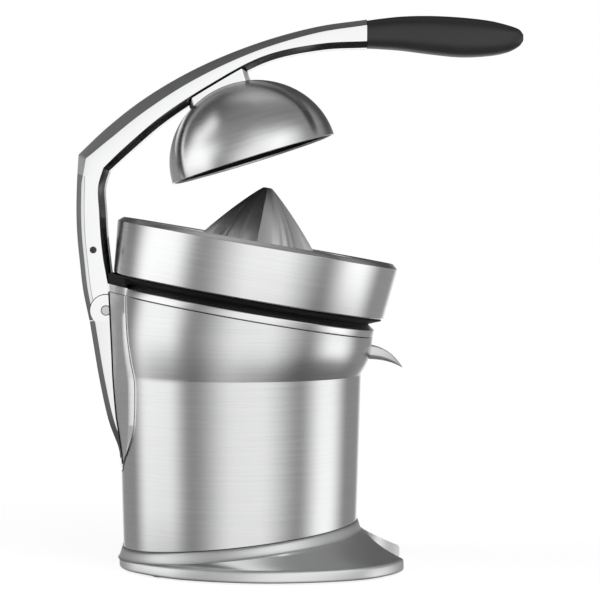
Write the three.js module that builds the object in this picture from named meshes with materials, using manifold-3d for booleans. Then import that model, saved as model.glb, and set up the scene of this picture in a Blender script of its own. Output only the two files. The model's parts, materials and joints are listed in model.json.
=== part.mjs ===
// Motorised lever citrus press: a cast foot, a brushed barrel with a motor and gear train inside,
// a tilted juice bowl with strainer and cone, and a long arm that carries the press dome.
// Millimetres, +Z up, +X towards the spout. The barrel axis is the modelling origin; the finished
// group is then moved so that the origin sits under the middle of its bounding box.
import * as THREE from 'three';
import { mergeVertices } from 'three/addons/utils/BufferGeometryUtils.js';
import Module from 'manifold-3d';

const wasm = await Module();
wasm.setup();

// ---- driving dimensions -------------------------------------------------------------------
const GAP = 0.3;                 // clearance between pieces that touch
const RUN = 0.5;                 // clearance between pieces that move past each other
const ROUND = 36;                // facets of a large circle
const SMALL = 12;                // facets of a pin, screw or bush

const FOOT_HEIGHT = 1.6;         // how far the rubber feet hold the casting off the table
const LIP_HEIGHT = 10;           // top of the upright lip round the foot casting
const SEAT_HEIGHT = 27.5;        // barrel seat above the table, on the barrel axis
const SEAT_SLOPE = 0.11;         // rise of the barrel seat per millimetre towards the front
const BARREL_R_LOW = 93.5;
const BARREL_R_KINK = 96.5;
const KINK_HEIGHT = 150;         // where the straight barrel meets the flared shoulder
const SHELL = 1.6;               // sheet thickness of the barrel

const TILT = THREE.MathUtils.degToRad(10);   // lean of the bowl axis towards the front
const SEAM = { x: 4.3, z: 201.8 };           // centre of the tilted seam under the trim band
const SEAM_R = 103.5;
const FLARE_BULGE = 2.6;
const TRIM_EDGE = 4.7;           // outer corner of the trim band, above the seam
const TRIM_TOP = 7.8;            // its upper, inner edge
const TRIM_WALL = 5;
const WING_TOP = 6;
const DECK_TOP = 12;             // heights below are along the tilted axis, from the seam
const DECK_BOTTOM = 2;
const DECK_BEVEL = { out: 4.2, down: 3.6 };

const BOWL_BOTTOM = 16.6;
const BOWL_RIM = 60.3;
const BOWL_R_LOW = 109.5;
const BOWL_R_RIM = 113.1;
const BOWL_WALL = 2;
const RIM_BEVEL = { out: 4.3, down: 3.6 };
const STRAINER_FLOOR = 38;
const STRAINER_WALL = 1.2;
const STRAINER_SLOTS = 12;
const CONE_R = 51;
const CONE_FLANGE_R = 53;
const CONE_BASE = 44;
const CONE_TIP = 103;
const SPINDLE_R = 6;
const SPINDLE_TOP = 66;

const ARM_WIDTH = 30;
const ARM_FRONT_BAND = 4.5;      // depth of the bevel band along the arm's inner edge
const ARM_REAR_BAND = 4;         // depth of the bevel band along the upright's outer edge
const BAND_STEP = 4;             // how far the bevel bands narrow the arm
const COVER_DEPTH = 6.4;         // depth of the rear cover strip
const EAR = 5.5;                 // thickness of each ear of the rear link
const HEAD_R = 12.4;             // round upper end of the rear link
const PIN_A = { x: -106, z: 205.6 };     // rear link to arm
const PIN_B = { x: -116, z: 253.6 };     // arm to inner link
const PIN_G1 = { x: -89, z: 85 };        // rear link to housing
const PIN_G2 = { x: -93, z: 206 };       // inner link to housing
const PIN_A_R = 3.5;
const PIN_B_R = 2.6;
const PIN_G1_R = 3.5;
const PIN_G2_R = 2.5;
const OPEN_PIVOT_PLAY = 1.7;     // extra radius of the inner link's upper eye
const INNER_LINK = 10;           // thickness of the inner link
const LUG = 5;                   // thickness of the lug that holds the inner link

const SPOUT_PIVOT = { x: 89, z: 172 };
const SPOUT_PIN_R = 1.6;

const CHANNEL_FRONT = -78;
const CHANNEL_FLOOR = 77;
const SPINE_FRONT = -72;

const DOME_RIM = { x: 10.8, z: 325.6 };
const DOME_TILT = THREE.MathUtils.degToRad(-17.25);
const DOME_R = 67.4;
const DOME_HEIGHT = 63;
const DOME_WALL = 1.6;
const LINER = 1.5;

const GEAR_MODULE = 1.5625;
const OUTPUT_TEETH = 36;
const CLUSTER_SMALL_TEETH = 12;
const CLUSTER_LARGE_TEETH = 32;
const PINION_TEETH = 16;
const MOTOR_R = 42;
const MOTOR_LENGTH = 78;

// ---- materials ------------------------------------------------------------------------------
const metal = (color, roughness) => new THREE.MeshStandardMaterial({ color, roughness, metalness: 1 });
const plastic = (color, roughness) => new THREE.MeshStandardMaterial({ color, roughness, metalness: 0 });
const finish = {
  brushed: metal(0xc9cacb, 0.32),
  polished: metal(0xd8d9da, 0.16),
  satin: metal(0xbfc0c2, 0.38),
  steel: metal(0xa9abad, 0.35),
  dark: metal(0x4a4b4d, 0.5),
  brass: metal(0xb59a55, 0.4),
  black: plastic(0x141415, 0.55),
  grip: plastic(0x1a1a1b, 0.7),
  rubber: plastic(0x1e1e1e, 0.9),
  gear: plastic(0xe6e2d6, 0.6),
};

// ---- solids -----------------------------------------------------------------------------------
// Faces are turned outwards, whatever way the outline or profile was drawn.
function outward(geometry) {
  for (const name of Object.keys(geometry.attributes)) {
    if (name !== 'position') geometry.deleteAttribute(name);
  }
  const merged = mergeVertices(geometry, 1e-4);
  const index = merged.index.array;
  const at = merged.attributes.position;
  const a = new THREE.Vector3(), b = new THREE.Vector3(), c = new THREE.Vector3();
  let volume = 0;
  for (let i = 0; i < index.length; i += 3) {
    a.fromBufferAttribute(at, index[i]);
    b.fromBufferAttribute(at, index[i + 1]);
    c.fromBufferAttribute(at, index[i + 2]);
    volume += a.dot(b.cross(c));
  }
  for (let i = 0; volume < 0 && i < index.length; i += 3) {
    [index[i], index[i + 1]] = [index[i + 1], index[i]];
  }
  return merged;
}

function solid(geometry) {
  const merged = outward(geometry);
  return new wasm.Manifold(new wasm.Mesh({
    numProp: 3,
    vertProperties: Float32Array.from(merged.attributes.position.array),
    triVerts: Uint32Array.from(merged.index.array),
  }));
}

function shape3d(body) {
  const mesh = body.getMesh();
  const geometry = new THREE.BufferGeometry();
  geometry.setAttribute('position', new THREE.BufferAttribute(mesh.vertProperties, 3));
  geometry.setIndex(new THREE.BufferAttribute(mesh.triVerts, 1));
  return geometry;
}

const join = (...parts) => shape3d(parts.map(solid).reduce((whole, part) => whole.add(part)));
const cut = (base, ...tools) =>
  shape3d(tools.map(solid).reduce((left, tool) => left.subtract(tool), solid(base)));
const common = (base, tool) => shape3d(solid(base).intersect(solid(tool)));

// A skin over rings of equal count: capped at both ends, or closed on itself when loop is set.
function skin(rings, loop = false) {
  const count = rings[0].length;
  const points = rings.flat();
  const index = [];
  const bands = loop ? rings.length : rings.length - 1;
  for (let r = 0; r < bands; r++) {
    const next = ((r + 1) % rings.length) * count;
    for (let i = 0; i < count; i++) {
      const j = (i + 1) % count;
      index.push(r * count + i, r * count + j, next + j, r * count + i, next + j, next + i);
    }
  }
  if (!loop) {
    for (const [start, flip] of [[0, true], [(rings.length - 1) * count, false]]) {
      const middle = points.length;
      const centre = new THREE.Vector3();
      for (let i = 0; i < count; i++) centre.add(points[start + i]);
      points.push(centre.divideScalar(count));
      for (let i = 0; i < count; i++) {
        const j = (i + 1) % count;
        if (flip) index.push(start + j, start + i, middle);
        else index.push(start + i, start + j, middle);
      }
    }
  }
  const geometry = new THREE.BufferGeometry().setFromPoints(points);
  geometry.setIndex(index);
  return geometry;
}

// A body of revolution about +Z; the profile is [radius, height] pairs.
function revolve(profile, segments = ROUND, closed = false) {
  const points = profile.map(([r, z]) => new THREE.Vector2(r, z));
  if (closed) points.push(points[0].clone());
  return new THREE.LatheGeometry(points, segments).rotateX(Math.PI / 2);
}

const rod = (r, z0, z1, segments = SMALL) => revolve([[0, z0], [r, z0], [r, z1], [0, z1]], segments);
const tube = (r0, r1, z0, z1, segments = SMALL) =>
  revolve([[r0, z0], [r1, z0], [r1, z1], [r0, z1]], segments, true);

// A pin along Y, centred on the XZ point at.
const crossRod = (at, r, y0, y1, segments = SMALL) =>
  rod(r, y0, y1, segments).rotateX(-Math.PI / 2).translate(at.x, 0, at.z);

// A flat piece with an XZ outline, from y0 to y1.
function plate(outline, y0, y1) {
  const shape = outline instanceof THREE.Shape ? outline
    : new THREE.Shape(outline.map(([x, z]) => new THREE.Vector2(x, z)));
  return new THREE.ExtrudeGeometry(shape, { depth: y1 - y0, bevelEnabled: false, curveSegments: 10 })
    .rotateX(Math.PI / 2).translate(0, y1, 0);
}

// An upright piece with an XY outline, from z0 to z1.
function pillar(outline, z0, z1, curveSegments = 12) {
  const shape = outline instanceof THREE.Shape ? outline
    : new THREE.Shape(outline.map(([x, y]) => new THREE.Vector2(x, y)));
  return new THREE.ExtrudeGeometry(shape, { depth: z1 - z0, bevelEnabled: false, curveSegments })
    .translate(0, 0, z0);
}

const block = (x0, x1, y0, y1, z0, z1) =>
  new THREE.BoxGeometry(x1 - x0, y1 - y0, z1 - z0).translate((x0 + x1) / 2, (y0 + y1) / 2, (z0 + z1) / 2);

// ---- assembly ---------------------------------------------------------------------------------
const juicer = new THREE.Group();
const leaning = new THREE.Group();       // everything on the tilted bowl axis
leaning.position.set(SEAM.x, 0, SEAM.z);
leaning.rotation.y = TILT;
juicer.add(leaning);

function add(name, geometry, material, parent = juicer) {
  const mesh = new THREE.Mesh(outward(geometry), material);
  mesh.name = name;
  parent.add(mesh);
  return mesh;
}

const toLean = new THREE.Matrix4().makeRotationY(TILT).setPosition(SEAM.x, 0, SEAM.z);
const leanToWorld = geometry => geometry.applyMatrix4(toLean);

// ---- foot casting -----------------------------------------------------------------------------
// Half of the plan outline, from the back round to a front toe; the other half is its mirror.
const footHalf = [
  [-96.5, 0], [-93, 27], [-79, 52], [-45, 83], [3, 99.5],
  [48, 99.5], [92, 86], [117, 63], [130, 34], [131, 0]];
const footPlan = new THREE.CatmullRomCurve3(
  [...footHalf, ...footHalf.slice(1, -1).reverse().map(([x, y]) => [x, -y])]
    .map(([x, y]) => new THREE.Vector3(x, y, 0)), true, 'catmullrom', 0.5);
const FOOT_CENTRE = 17;
const footPoints = footPlan.getSpacedPoints(ROUND).slice(0, ROUND);
const seatAt = x => SEAT_HEIGHT + SEAT_SLOPE * x;
const footRing = (inset, height) => footPoints.map(point => {
  const middle = new THREE.Vector3(FOOT_CENTRE, 0, 0);
  const out = point.clone().sub(middle);
  const reach = out.length();
  return middle.addScaledVector(out, (reach - inset) / reach).setZ(height);
});
const seatRing = (radius, drop) => footPoints.map(point => {
  const angle = Math.atan2(point.y, point.x - FOOT_CENTRE);
  const x = radius * Math.cos(angle), y = radius * Math.sin(angle);
  return new THREE.Vector3(x, y, seatAt(x) - drop);
});
const blendRing = (low, high, share, lift) => low.map((point, i) =>
  point.clone().lerp(high[i], share).setZ(THREE.MathUtils.lerp(point.z, high[i].z, lift)));

const NOTCH_R = 37;
const NOTCH_X = 139;
const FOOT_POCKET = { long: 60.5, wide: 52, top: 17 };
const WIRE_HOLE_R = 9;
const COVER_PLATE = 2.5;
const COVER_BOSS_R = 5;
const SEAT_STEP = 2.2;
const lipTop = footRing(1.6, LIP_HEIGHT + 1.2);
const seatEdge = seatRing(BARREL_R_LOW + SEAT_STEP, 3.4);
const footBlank = skin([
  footRing(1.2, FOOT_HEIGHT), footRing(0, FOOT_HEIGHT + 1.4), footRing(0.3, LIP_HEIGHT), lipTop,
  blendRing(lipTop, seatEdge, 0.5, 0.42), seatEdge, seatRing(BARREL_R_LOW + 0.6, 0.4),
  seatRing(BARREL_R_LOW - 1, 0),
]);
const GLAND = { x: -84, y: 38, z: 9, r: 5.5 };
const glandAt = geometry => geometry.rotateY(-Math.PI / 2).rotateZ(-Math.atan2(GLAND.y, -GLAND.x))
  .translate(GLAND.x, GLAND.y, GLAND.z);
const footAt = [[-58, 52], [-58, -52], [78, 64], [78, -64]];
const FOOT_PAD_R = 9;
const footSockets = footAt.map(([x, y]) => rod(FOOT_PAD_R - 3 + GAP, -1, FOOT_HEIGHT + 4).translate(x, y, 0));
const pocket = (inset, z0, z1) =>
  rod(1, z0, z1, 24).scale(FOOT_POCKET.long - inset, FOOT_POCKET.wide - inset, 1);
const coverHoles = (r, z0, z1) => [0.6, 2.17, 3.74, 5.31].map(angle =>
  rod(r, z0, z1).translate(44 * Math.cos(angle), 37 * Math.sin(angle), 0));
const coverTop = FOOT_HEIGHT + 0.4 + COVER_PLATE;
add('base_casting', cut(
  join(cut(footBlank,
    rod(NOTCH_R, -1, 60, ROUND).translate(NOTCH_X, 0, 0),
    pocket(0, -1, FOOT_POCKET.top),
    rod(WIRE_HOLE_R, 0, 60),
    glandAt(rod(GLAND.r + GAP, -30, 30)),
    ...footSockets),
  ...coverHoles(COVER_BOSS_R, coverTop + GAP, FOOT_POCKET.top + 1)),
  ...coverHoles(1.5, 0, 14)), finish.satin);
add('base_cover', cut(pocket(GAP, FOOT_HEIGHT + 0.4, coverTop), ...coverHoles(1.9, -1, 9)), finish.black);
const footPad = () => join(
  rod(FOOT_PAD_R, 0, FOOT_HEIGHT - GAP),
  rod(FOOT_PAD_R - 3, 0, FOOT_HEIGHT + 4 - GAP));
footAt.forEach(([x, y], i) => add(`rubber_foot_${i + 1}`, footPad().translate(x, y, 0), finish.rubber));
add('cord_gland', glandAt(join(
  tube(3.2, GLAND.r, -6, 10), tube(3.2, GLAND.r + 2, 9.3, 11.5))), finish.rubber);

// ---- rear spine: two wings with a channel between them for the arm links -------------------------
// Plan sections of the spine: height, rear face and its half width, the ridge along the wing, and the
// line where the wing meets the barrel. Ridge and line follow the barrel's surface.
const SPINE_SECTIONS = [
  { z: 80, rear: -93.3, half: 19, ridge: -92.5, front: -92.2 },
  { z: 88, rear: -93.9, half: 19.6, ridge: -91.2, front: -90.4 },
  { z: 98, rear: -95, half: 20, ridge: -88, front: -86.2 },
  { z: 110, rear: -96.6, half: 20.2, ridge: -86.8, front: -82.6 },
  { z: 124, rear: -98.6, half: 20.4, ridge: -86.4, front: -81 },
  { z: 150, rear: -100.7, half: 20.5, ridge: -86.4, front: -80.8 },
  { z: 168, rear: -101.5, half: 20.5, ridge: -88.8, front: -84 },
  { z: 190, rear: -102.5, half: 20.5, ridge: -90.8, front: -86.8 },
  { z: 218, rear: -103.8, half: 20.5, ridge: -92, front: -88.4 },
  { z: 240, rear: -104.8, half: 20.5, ridge: -92.6, front: -89 },
];
const WING_BEVEL = 1.4;
const WING_PROUD = 0.4;          // how far the wing's front line stands off the barrel
const RIDGE_PROUD = 1.2;
const SEAM_REAR = 218;           // height and radius of the seam behind the wings
const SEAM_REAR_R = 98.5;
function barrelRearRadius(z) {
  if (z <= KINK_HEIGHT) return THREE.MathUtils.mapLinear(z, 17.5, KINK_HEIGHT, BARREL_R_LOW, BARREL_R_KINK);
  const share = Math.min(1, (z - KINK_HEIGHT) / (SEAM_REAR - KINK_HEIGHT));
  return THREE.MathUtils.lerp(BARREL_R_KINK, SEAM_REAR_R, share) + FLARE_BULGE * Math.sin(Math.PI * share);
}
const spineRing = ({ z, rear, half, ridge, front }, grow) => {
  const across = (x, proud) => Math.sqrt((barrelRearRadius(z) + proud) ** 2 - x * x) + grow;
  const side = [
    [SPINE_FRONT + grow, across(front, WING_PROUD)], [front, across(front, WING_PROUD)],
    [ridge - grow, across(ridge, z > 80 ? RIDGE_PROUD : WING_PROUD)],
    [rear + WING_BEVEL - grow, half + grow], [rear - grow, half - WING_BEVEL + grow]];
  return [...side, ...side.map(([x, y]) => [x, -y]).reverse()].map(([x, y]) => new THREE.Vector3(x, y, z));
};
const spineBlock = grow => {
  const rings = SPINE_SECTIONS.map(section => spineRing(section, grow));
  rings[0].forEach(point => point.setZ(point.z - grow));
  return skin(rings);
};
const CHANNEL_HALF = ARM_WIDTH / 2 + 0.6;
const channel = block(-140, CHANNEL_FRONT, -CHANNEL_HALF, CHANNEL_HALF, CHANNEL_FLOOR, 260);
const footBearing = block(-88.6, SPINE_FRONT, -19, 19, CHANNEL_FLOOR - 4, SPINE_SECTIONS[0].z + 1);
const aboveSeam = height => leanToWorld(block(-200, 200, -200, 200, height, 200));
const belowSeam = height => leanToWorld(block(-200, 200, -200, 200, -200, height));

// The lug inside the channel that holds the inner link's lower pin.
const LUG_R = 6.2;
const lug = join(
  crossRod(PIN_G2, LUG_R, -LUG / 2, LUG / 2),
  plate([[PIN_G2.x, PIN_G2.z - LUG_R], [CHANNEL_FRONT + 2, PIN_G2.z - 22], [CHANNEL_FRONT + 2, PIN_G2.z + 4],
    [PIN_G2.x, PIN_G2.z + LUG_R]], -LUG / 2, LUG / 2));
add('spine_housing', cut(
  join(cut(join(spineBlock(0), footBearing), aboveSeam(0), channel), lug),
  crossRod(PIN_G1, PIN_G1_R + GAP / 2, -19, 19),
  crossRod(PIN_G2, PIN_G2_R + GAP / 2, -9, 9)), finish.brushed);
add('link_lower_pin', crossRod(PIN_G1, PIN_G1_R, -18.5, 18.5), finish.steel);
add('inner_link_pin', crossRod(PIN_G2, PIN_G2_R, -INNER_LINK / 2, INNER_LINK / 2), finish.steel);

// ---- barrel -------------------------------------------------------------------------------------
const around = place => Array.from({ length: ROUND }, (_, i) => place(i / ROUND * Math.PI * 2));
const barrelBottom = inset => around(angle => {
  const r = BARREL_R_LOW - inset;
  return new THREE.Vector3(r * Math.cos(angle), r * Math.sin(angle), seatAt(r * Math.cos(angle)) + GAP);
});
const barrelFlare = (share, inset) => around(angle => {
  const outwards = new THREE.Vector3(Math.cos(angle), Math.sin(angle), 0);
  const low = outwards.clone().multiplyScalar(BARREL_R_KINK - inset).setZ(KINK_HEIGHT);
  const high = outwards.clone().multiplyScalar(SEAM_R - inset).applyMatrix4(toLean);
  return low.lerp(high, share).addScaledVector(outwards, FLARE_BULGE * Math.sin(Math.PI * share));
});
const FLARE_STEPS = 4;
const flare = inset => Array.from({ length: FLARE_STEPS + 1 }, (_, i) => barrelFlare(i / FLARE_STEPS, inset));
const SPOUT_SLOT = { half: 12.2, low: 165, high: 182.8 };
add('barrel_shell', cut(
  skin([barrelBottom(0), ...flare(0), ...flare(SHELL).reverse(), barrelBottom(SHELL)], true),
  spineBlock(GAP), block(-140, CHANNEL_FRONT, -CHANNEL_HALF - GAP, CHANNEL_HALF + GAP, CHANNEL_FLOOR, 260),
  block(80, 120, -SPOUT_SLOT.half, SPOUT_SLOT.half, SPOUT_SLOT.low, SPOUT_SLOT.high)), finish.brushed);

// ---- trim band and deck -------------------------------------------------------------------------
const DECK_R = SEAM_R - TRIM_WALL - GAP;
const trimRing = revolve([[SEAM_R - TRIM_WALL, GAP], [SEAM_R, GAP], [SEAM_R, TRIM_EDGE],
  [SEAM_R - TRIM_WALL, TRIM_TOP]], ROUND, true);
const wingTops = cut(spineBlock(0), belowSeam(GAP), aboveSeam(WING_TOP));
const deckBody = revolve([[0, DECK_BOTTOM], [DECK_R, DECK_BOTTOM], [DECK_R, DECK_TOP - DECK_BEVEL.down],
  [DECK_R - DECK_BEVEL.out, DECK_TOP], [0, DECK_TOP]]);
const deckSpace = leanToWorld(rod(SEAM_R - TRIM_WALL, -2, 40, ROUND));
add('top_trim', cut(join(leanToWorld(trimRing), cut(wingTops, deckSpace)), channel), finish.brushed);

const BUSH_WALL = 3;
const BUSH_R = SPINDLE_R + 0.25 + BUSH_WALL;
const BOSS_R = BUSH_R + 4;
const BOSS_TOP = 24;
const LID_TOP = -1.5;
const bossAt = [[52, 30], [52, -30], [-20, 64], [-20, -64]];
const SHOULDER = { x0: -104.5, x1: -91, y0: CHANNEL_HALF, y1: 34, top: DECK_TOP - 1.2 };
const shoulders = [-1, 1].map(side => leanToWorld(block(
  SHOULDER.x0, SHOULDER.x1, side > 0 ? SHOULDER.y0 : -SHOULDER.y1, side > 0 ? SHOULDER.y1 : -SHOULDER.y0,
  TRIM_TOP + GAP, SHOULDER.top)));
const DRAIN = { x: 84, r: 9 };
add('deck', cut(
  join(leanToWorld(join(deckBody, rod(BOSS_R, DECK_TOP - 1, BOSS_TOP),
    ...bossAt.map(([x, y]) => rod(5, LID_TOP + GAP, DECK_BOTTOM + 1).translate(x, y, 0)))), ...shoulders),
  leanToWorld(rod(BUSH_R + 0.1, -5, 60)), leanToWorld(rod(DRAIN.r, -5, 60).translate(DRAIN.x, 0, 0)),
  channel), finish.black);
add('spindle_bush_upper', tube(SPINDLE_R + 0.25, BUSH_R, DECK_BOTTOM, BOSS_TOP), finish.brass, leaning);

// ---- gear train and motor, all on the tilted axis -------------------------------------------------
// A spur gear outline with straight-sided teeth that narrow towards their tips.
function gearOutline(teeth, phase, backlash = 0.24) {
  const pitch = GEAR_MODULE * teeth / 2;
  const tip = pitch + GEAR_MODULE * 0.9;
  const root = pitch - GEAR_MODULE * 1.2;
  const step = Math.PI * 2 / teeth;
  const half = step / 4 - backlash / pitch / 2;
  const lean = Math.tan(THREE.MathUtils.degToRad(20)) * GEAR_MODULE / pitch;
  const points = [];
  for (let i = 0; i < teeth; i++) {
    const middle = phase + i * step;
    for (const [r, offset] of [[root, -half - lean * 1.2], [tip, -half + lean * 0.95],
      [tip, half - lean * 0.95], [root, half + lean * 1.2]]) {
      points.push([r * Math.cos(middle + offset), r * Math.sin(middle + offset)]);
    }
  }
  return points;
}
const gear = (teeth, phase, z0, z1) => pillar(gearOutline(teeth, phase), z0, z1);

const STAGE = GEAR_MODULE * (OUTPUT_TEETH + CLUSTER_SMALL_TEETH) / 2;   // centre distance of both stages
const OUTPUT_Z = [-14, -6];
const CLUSTER_Z = [-23, -16];
const CLUSTER_PIN_R = 3;
const toothGap = teeth => Math.PI / teeth;
add('output_gear', cut(
  gear(OUTPUT_TEETH, toothGap(OUTPUT_TEETH), ...OUTPUT_Z),
  rod(SPINDLE_R + GAP / 2, -40, 20)), finish.gear, leaning);
add('drive_spindle', join(
  rod(SPINDLE_R, -14.5, BOSS_TOP + 6),
  rod(SPINDLE_R - 1.5, BOSS_TOP + 5, SPINDLE_TOP, 6)), finish.steel, leaning);
add('cluster_gear', cut(
  join(gear(CLUSTER_SMALL_TEETH, Math.PI, CLUSTER_Z[1] - 1, OUTPUT_Z[1]),
    gear(CLUSTER_LARGE_TEETH, Math.PI + toothGap(CLUSTER_LARGE_TEETH), ...CLUSTER_Z)),
  rod(CLUSTER_PIN_R + 0.15, -40, 20)), finish.gear, leaning).position.x = STAGE;
const LID = 3;
const CASE_FLOOR = -30;
const CASE_WALL = 3;
const OUTPUT_ROOM = GEAR_MODULE * OUTPUT_TEETH / 2 + 4;
const CLUSTER_ROOM = GEAR_MODULE * CLUSTER_LARGE_TEETH / 2 + 4;
const caseOutline = grow => {
  const shape = new THREE.Shape();
  const near = OUTPUT_ROOM + grow, far = CLUSTER_ROOM + grow;
  const turn = Math.acos((near - far) / STAGE);
  shape.absarc(0, 0, near, turn, Math.PI * 2 - turn, false);
  shape.absarc(STAGE, 0, far, -turn, turn, false);
  return shape;
};
const SHAFT_R = 4;
add('gearbox_case', cut(pillar(caseOutline(CASE_WALL), CASE_FLOOR, LID_TOP - LID - GAP, 10),
  pillar(caseOutline(0), CASE_FLOOR + CASE_WALL, 10, 10), rod(SHAFT_R + GAP, -60, 0),
  rod(CLUSTER_PIN_R - 1 + GAP / 2, -60, 0).translate(STAGE, 0, 0)), finish.satin, leaning);
const lidFlange = join(pillar(caseOutline(CASE_WALL), LID_TOP - LID, LID_TOP, 10),
  ...bossAt.map(([x, y]) => rod(7, LID_TOP - LID, LID_TOP).translate(x, y, 0)),
  ...bossAt.map(([x, y]) => pillar([[-6, -6], [6, -6], [x + 4, y + 4], [x - 4, y + 4]],
    LID_TOP - LID, LID_TOP)));
add('gearbox_lid', cut(lidFlange, rod(SPINDLE_R + 0.25, -60, 20),
  rod(CLUSTER_PIN_R - 1 + GAP / 2, -60, 20).translate(STAGE, 0, 0)), finish.satin, leaning);
add('cluster_pin', join(rod(CLUSTER_PIN_R, CASE_FLOOR + CASE_WALL + GAP, LID_TOP - LID - GAP),
  rod(CLUSTER_PIN_R - 1, CASE_FLOOR + 0.5, LID_TOP - 0.5)), finish.steel, leaning).position.x = STAGE;
add('motor_pinion', cut(
  gear(PINION_TEETH, 0, CLUSTER_Z[0], CLUSTER_Z[1] + 0.6),
  rod(SHAFT_R - 1 + 0.1, -60, 0)), finish.steel, leaning);
const MOTOR_TOP = CASE_FLOOR - GAP;
const MOTOR_FLOOR = MOTOR_TOP - MOTOR_LENGTH;
const CAN_WALL = 2;
add('motor_can', cut(rod(MOTOR_R, MOTOR_FLOOR, MOTOR_TOP, 28),
  rod(MOTOR_R - CAN_WALL, MOTOR_FLOOR - 1, MOTOR_TOP - CAN_WALL, 28),
  rod(SHAFT_R + GAP, -200, 0)), finish.steel, leaning);
add('motor_stator', tube(28, MOTOR_R - CAN_WALL - GAP, MOTOR_FLOOR + 12, MOTOR_TOP - 14, 28),
  finish.dark, leaning);
add('motor_end_cap', cut(
  join(rod(MOTOR_R, MOTOR_FLOOR - 4, MOTOR_FLOOR - GAP, 28), rod(12, MOTOR_FLOOR - 9, MOTOR_FLOOR - 3)),
  rod(SHAFT_R + GAP, -200, 0)), finish.dark, leaning);
add('motor_rotor', join(
  rod(26.5, MOTOR_FLOOR + 12, MOTOR_TOP - 14, 24),
  rod(SHAFT_R, MOTOR_FLOOR - 8, CLUSTER_Z[0] - GAP),
  rod(SHAFT_R - 1, CLUSTER_Z[0] - 1, CLUSTER_Z[1])), finish.steel, leaning);

// ---- bowl, strainer and cone ----------------------------------------------------------------------
const BOWL_FLOOR = DECK_TOP + 4;
const TUBE_R = BOSS_R + RUN;
const SKIRT = { out: 2.3, down: 1.3 };   // the bowl's floor dips outside the deck's bevel
add('juice_bowl', cut(revolve([
  [TUBE_R, DECK_TOP + GAP], [DECK_R - DECK_BEVEL.out + 0.4, DECK_TOP + GAP],
  [DECK_R - DECK_BEVEL.out + 0.4 + SKIRT.out, DECK_TOP + GAP - SKIRT.down],
  [BOWL_R_LOW - 0.8, BOWL_BOTTOM - 0.6], [BOWL_R_LOW + 0.04, BOWL_BOTTOM + 0.4],
  [BOWL_R_RIM, BOWL_RIM - RIM_BEVEL.down], [BOWL_R_RIM - RIM_BEVEL.out, BOWL_RIM],
  [BOWL_R_RIM - 6, BOWL_RIM - 1], [BOWL_R_RIM - 6 - BOWL_WALL, BOWL_RIM - 8], [BOWL_R_LOW - 9, BOWL_FLOOR],
  [TUBE_R + BOWL_WALL, BOWL_FLOOR], [TUBE_R + BOWL_WALL, BOSS_TOP + 4], [TUBE_R, BOSS_TOP + 4]], ROUND, true),
  rod(DRAIN.r - 2, 0, 30).translate(DRAIN.x, 0, 0)), finish.brushed, leaning);
const STRAINER_R = BOWL_R_RIM - 6 - BOWL_WALL - 1;
const SLOT_HALF_WIDTH = 1.6;
const strainerSlot = i => block(CONE_FLANGE_R + 3, STRAINER_R - 12, -SLOT_HALF_WIDTH, SLOT_HALF_WIDTH,
  STRAINER_FLOOR - 4, STRAINER_FLOOR + 4).rotateZ(i / STRAINER_SLOTS * Math.PI * 2);
add('strainer', cut(revolve([
  [TUBE_R + 8, STRAINER_FLOOR], [STRAINER_R - 8, STRAINER_FLOOR], [STRAINER_R - 1.5, STRAINER_FLOOR + 10],
  [STRAINER_R + 1.75, BOWL_RIM - 4], [STRAINER_R + 0.3, BOWL_RIM - 3.4],
  [STRAINER_R - 2.9, STRAINER_FLOOR + 10.6], [STRAINER_R - 8.8, STRAINER_FLOOR + STRAINER_WALL],
  [TUBE_R + 8, STRAINER_FLOOR + STRAINER_WALL]], ROUND, true),
  ...Array.from({ length: STRAINER_SLOTS }, (_, i) => strainerSlot(i))), finish.steel, leaning);

// Four fins and eight low ribs rise to a rounded tip; the valleys between them are hollow.
const CONE_FACETS = 48;
const coneRing = height => {
  const share = (height - CONE_BASE - 4) / (CONE_TIP - CONE_BASE - 4);
  const fin = CONE_R * Math.pow(1 - share, 0.92) * (1 + 0.1 * share) + 3.2 * Math.sqrt(share);
  const valley = fin * (0.66 + 0.22 * share);
  return Array.from({ length: CONE_FACETS }, (_, i) => {
    const angle = i / CONE_FACETS * Math.PI * 2;
    const quarter = Math.abs(((angle / (Math.PI / 2)) + 0.5) % 1 - 0.5) * 2;
    const fold = Math.pow(1 - quarter, 3.2);
    const rib = 0.05 * Math.max(0, Math.cos(angle * 12));
    const rise = Math.min(1, fold + 0.28 * quarter * quarter);
    const r = valley + (fin - valley) * rise + valley * rib * (1 - share);
    return new THREE.Vector3(r * Math.cos(angle), r * Math.sin(angle), height);
  });
};
const coneHeights = [0, 0.2, 0.45, 0.7, 0.9, 1]
  .map(share => THREE.MathUtils.lerp(CONE_BASE + 4, CONE_TIP - 0.1, share));
add('juicing_cone', cut(
  join(skin(coneHeights.map(coneRing)), rod(CONE_FLANGE_R, CONE_BASE, CONE_BASE + 4.5, CONE_FACETS)),
  rod(SPINDLE_R - 1.5 + GAP, 0, SPINDLE_TOP + 0.6, 6),
  rod(SPINDLE_R + 3, 0, CONE_BASE + 3)), finish.steel, leaning);

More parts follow.
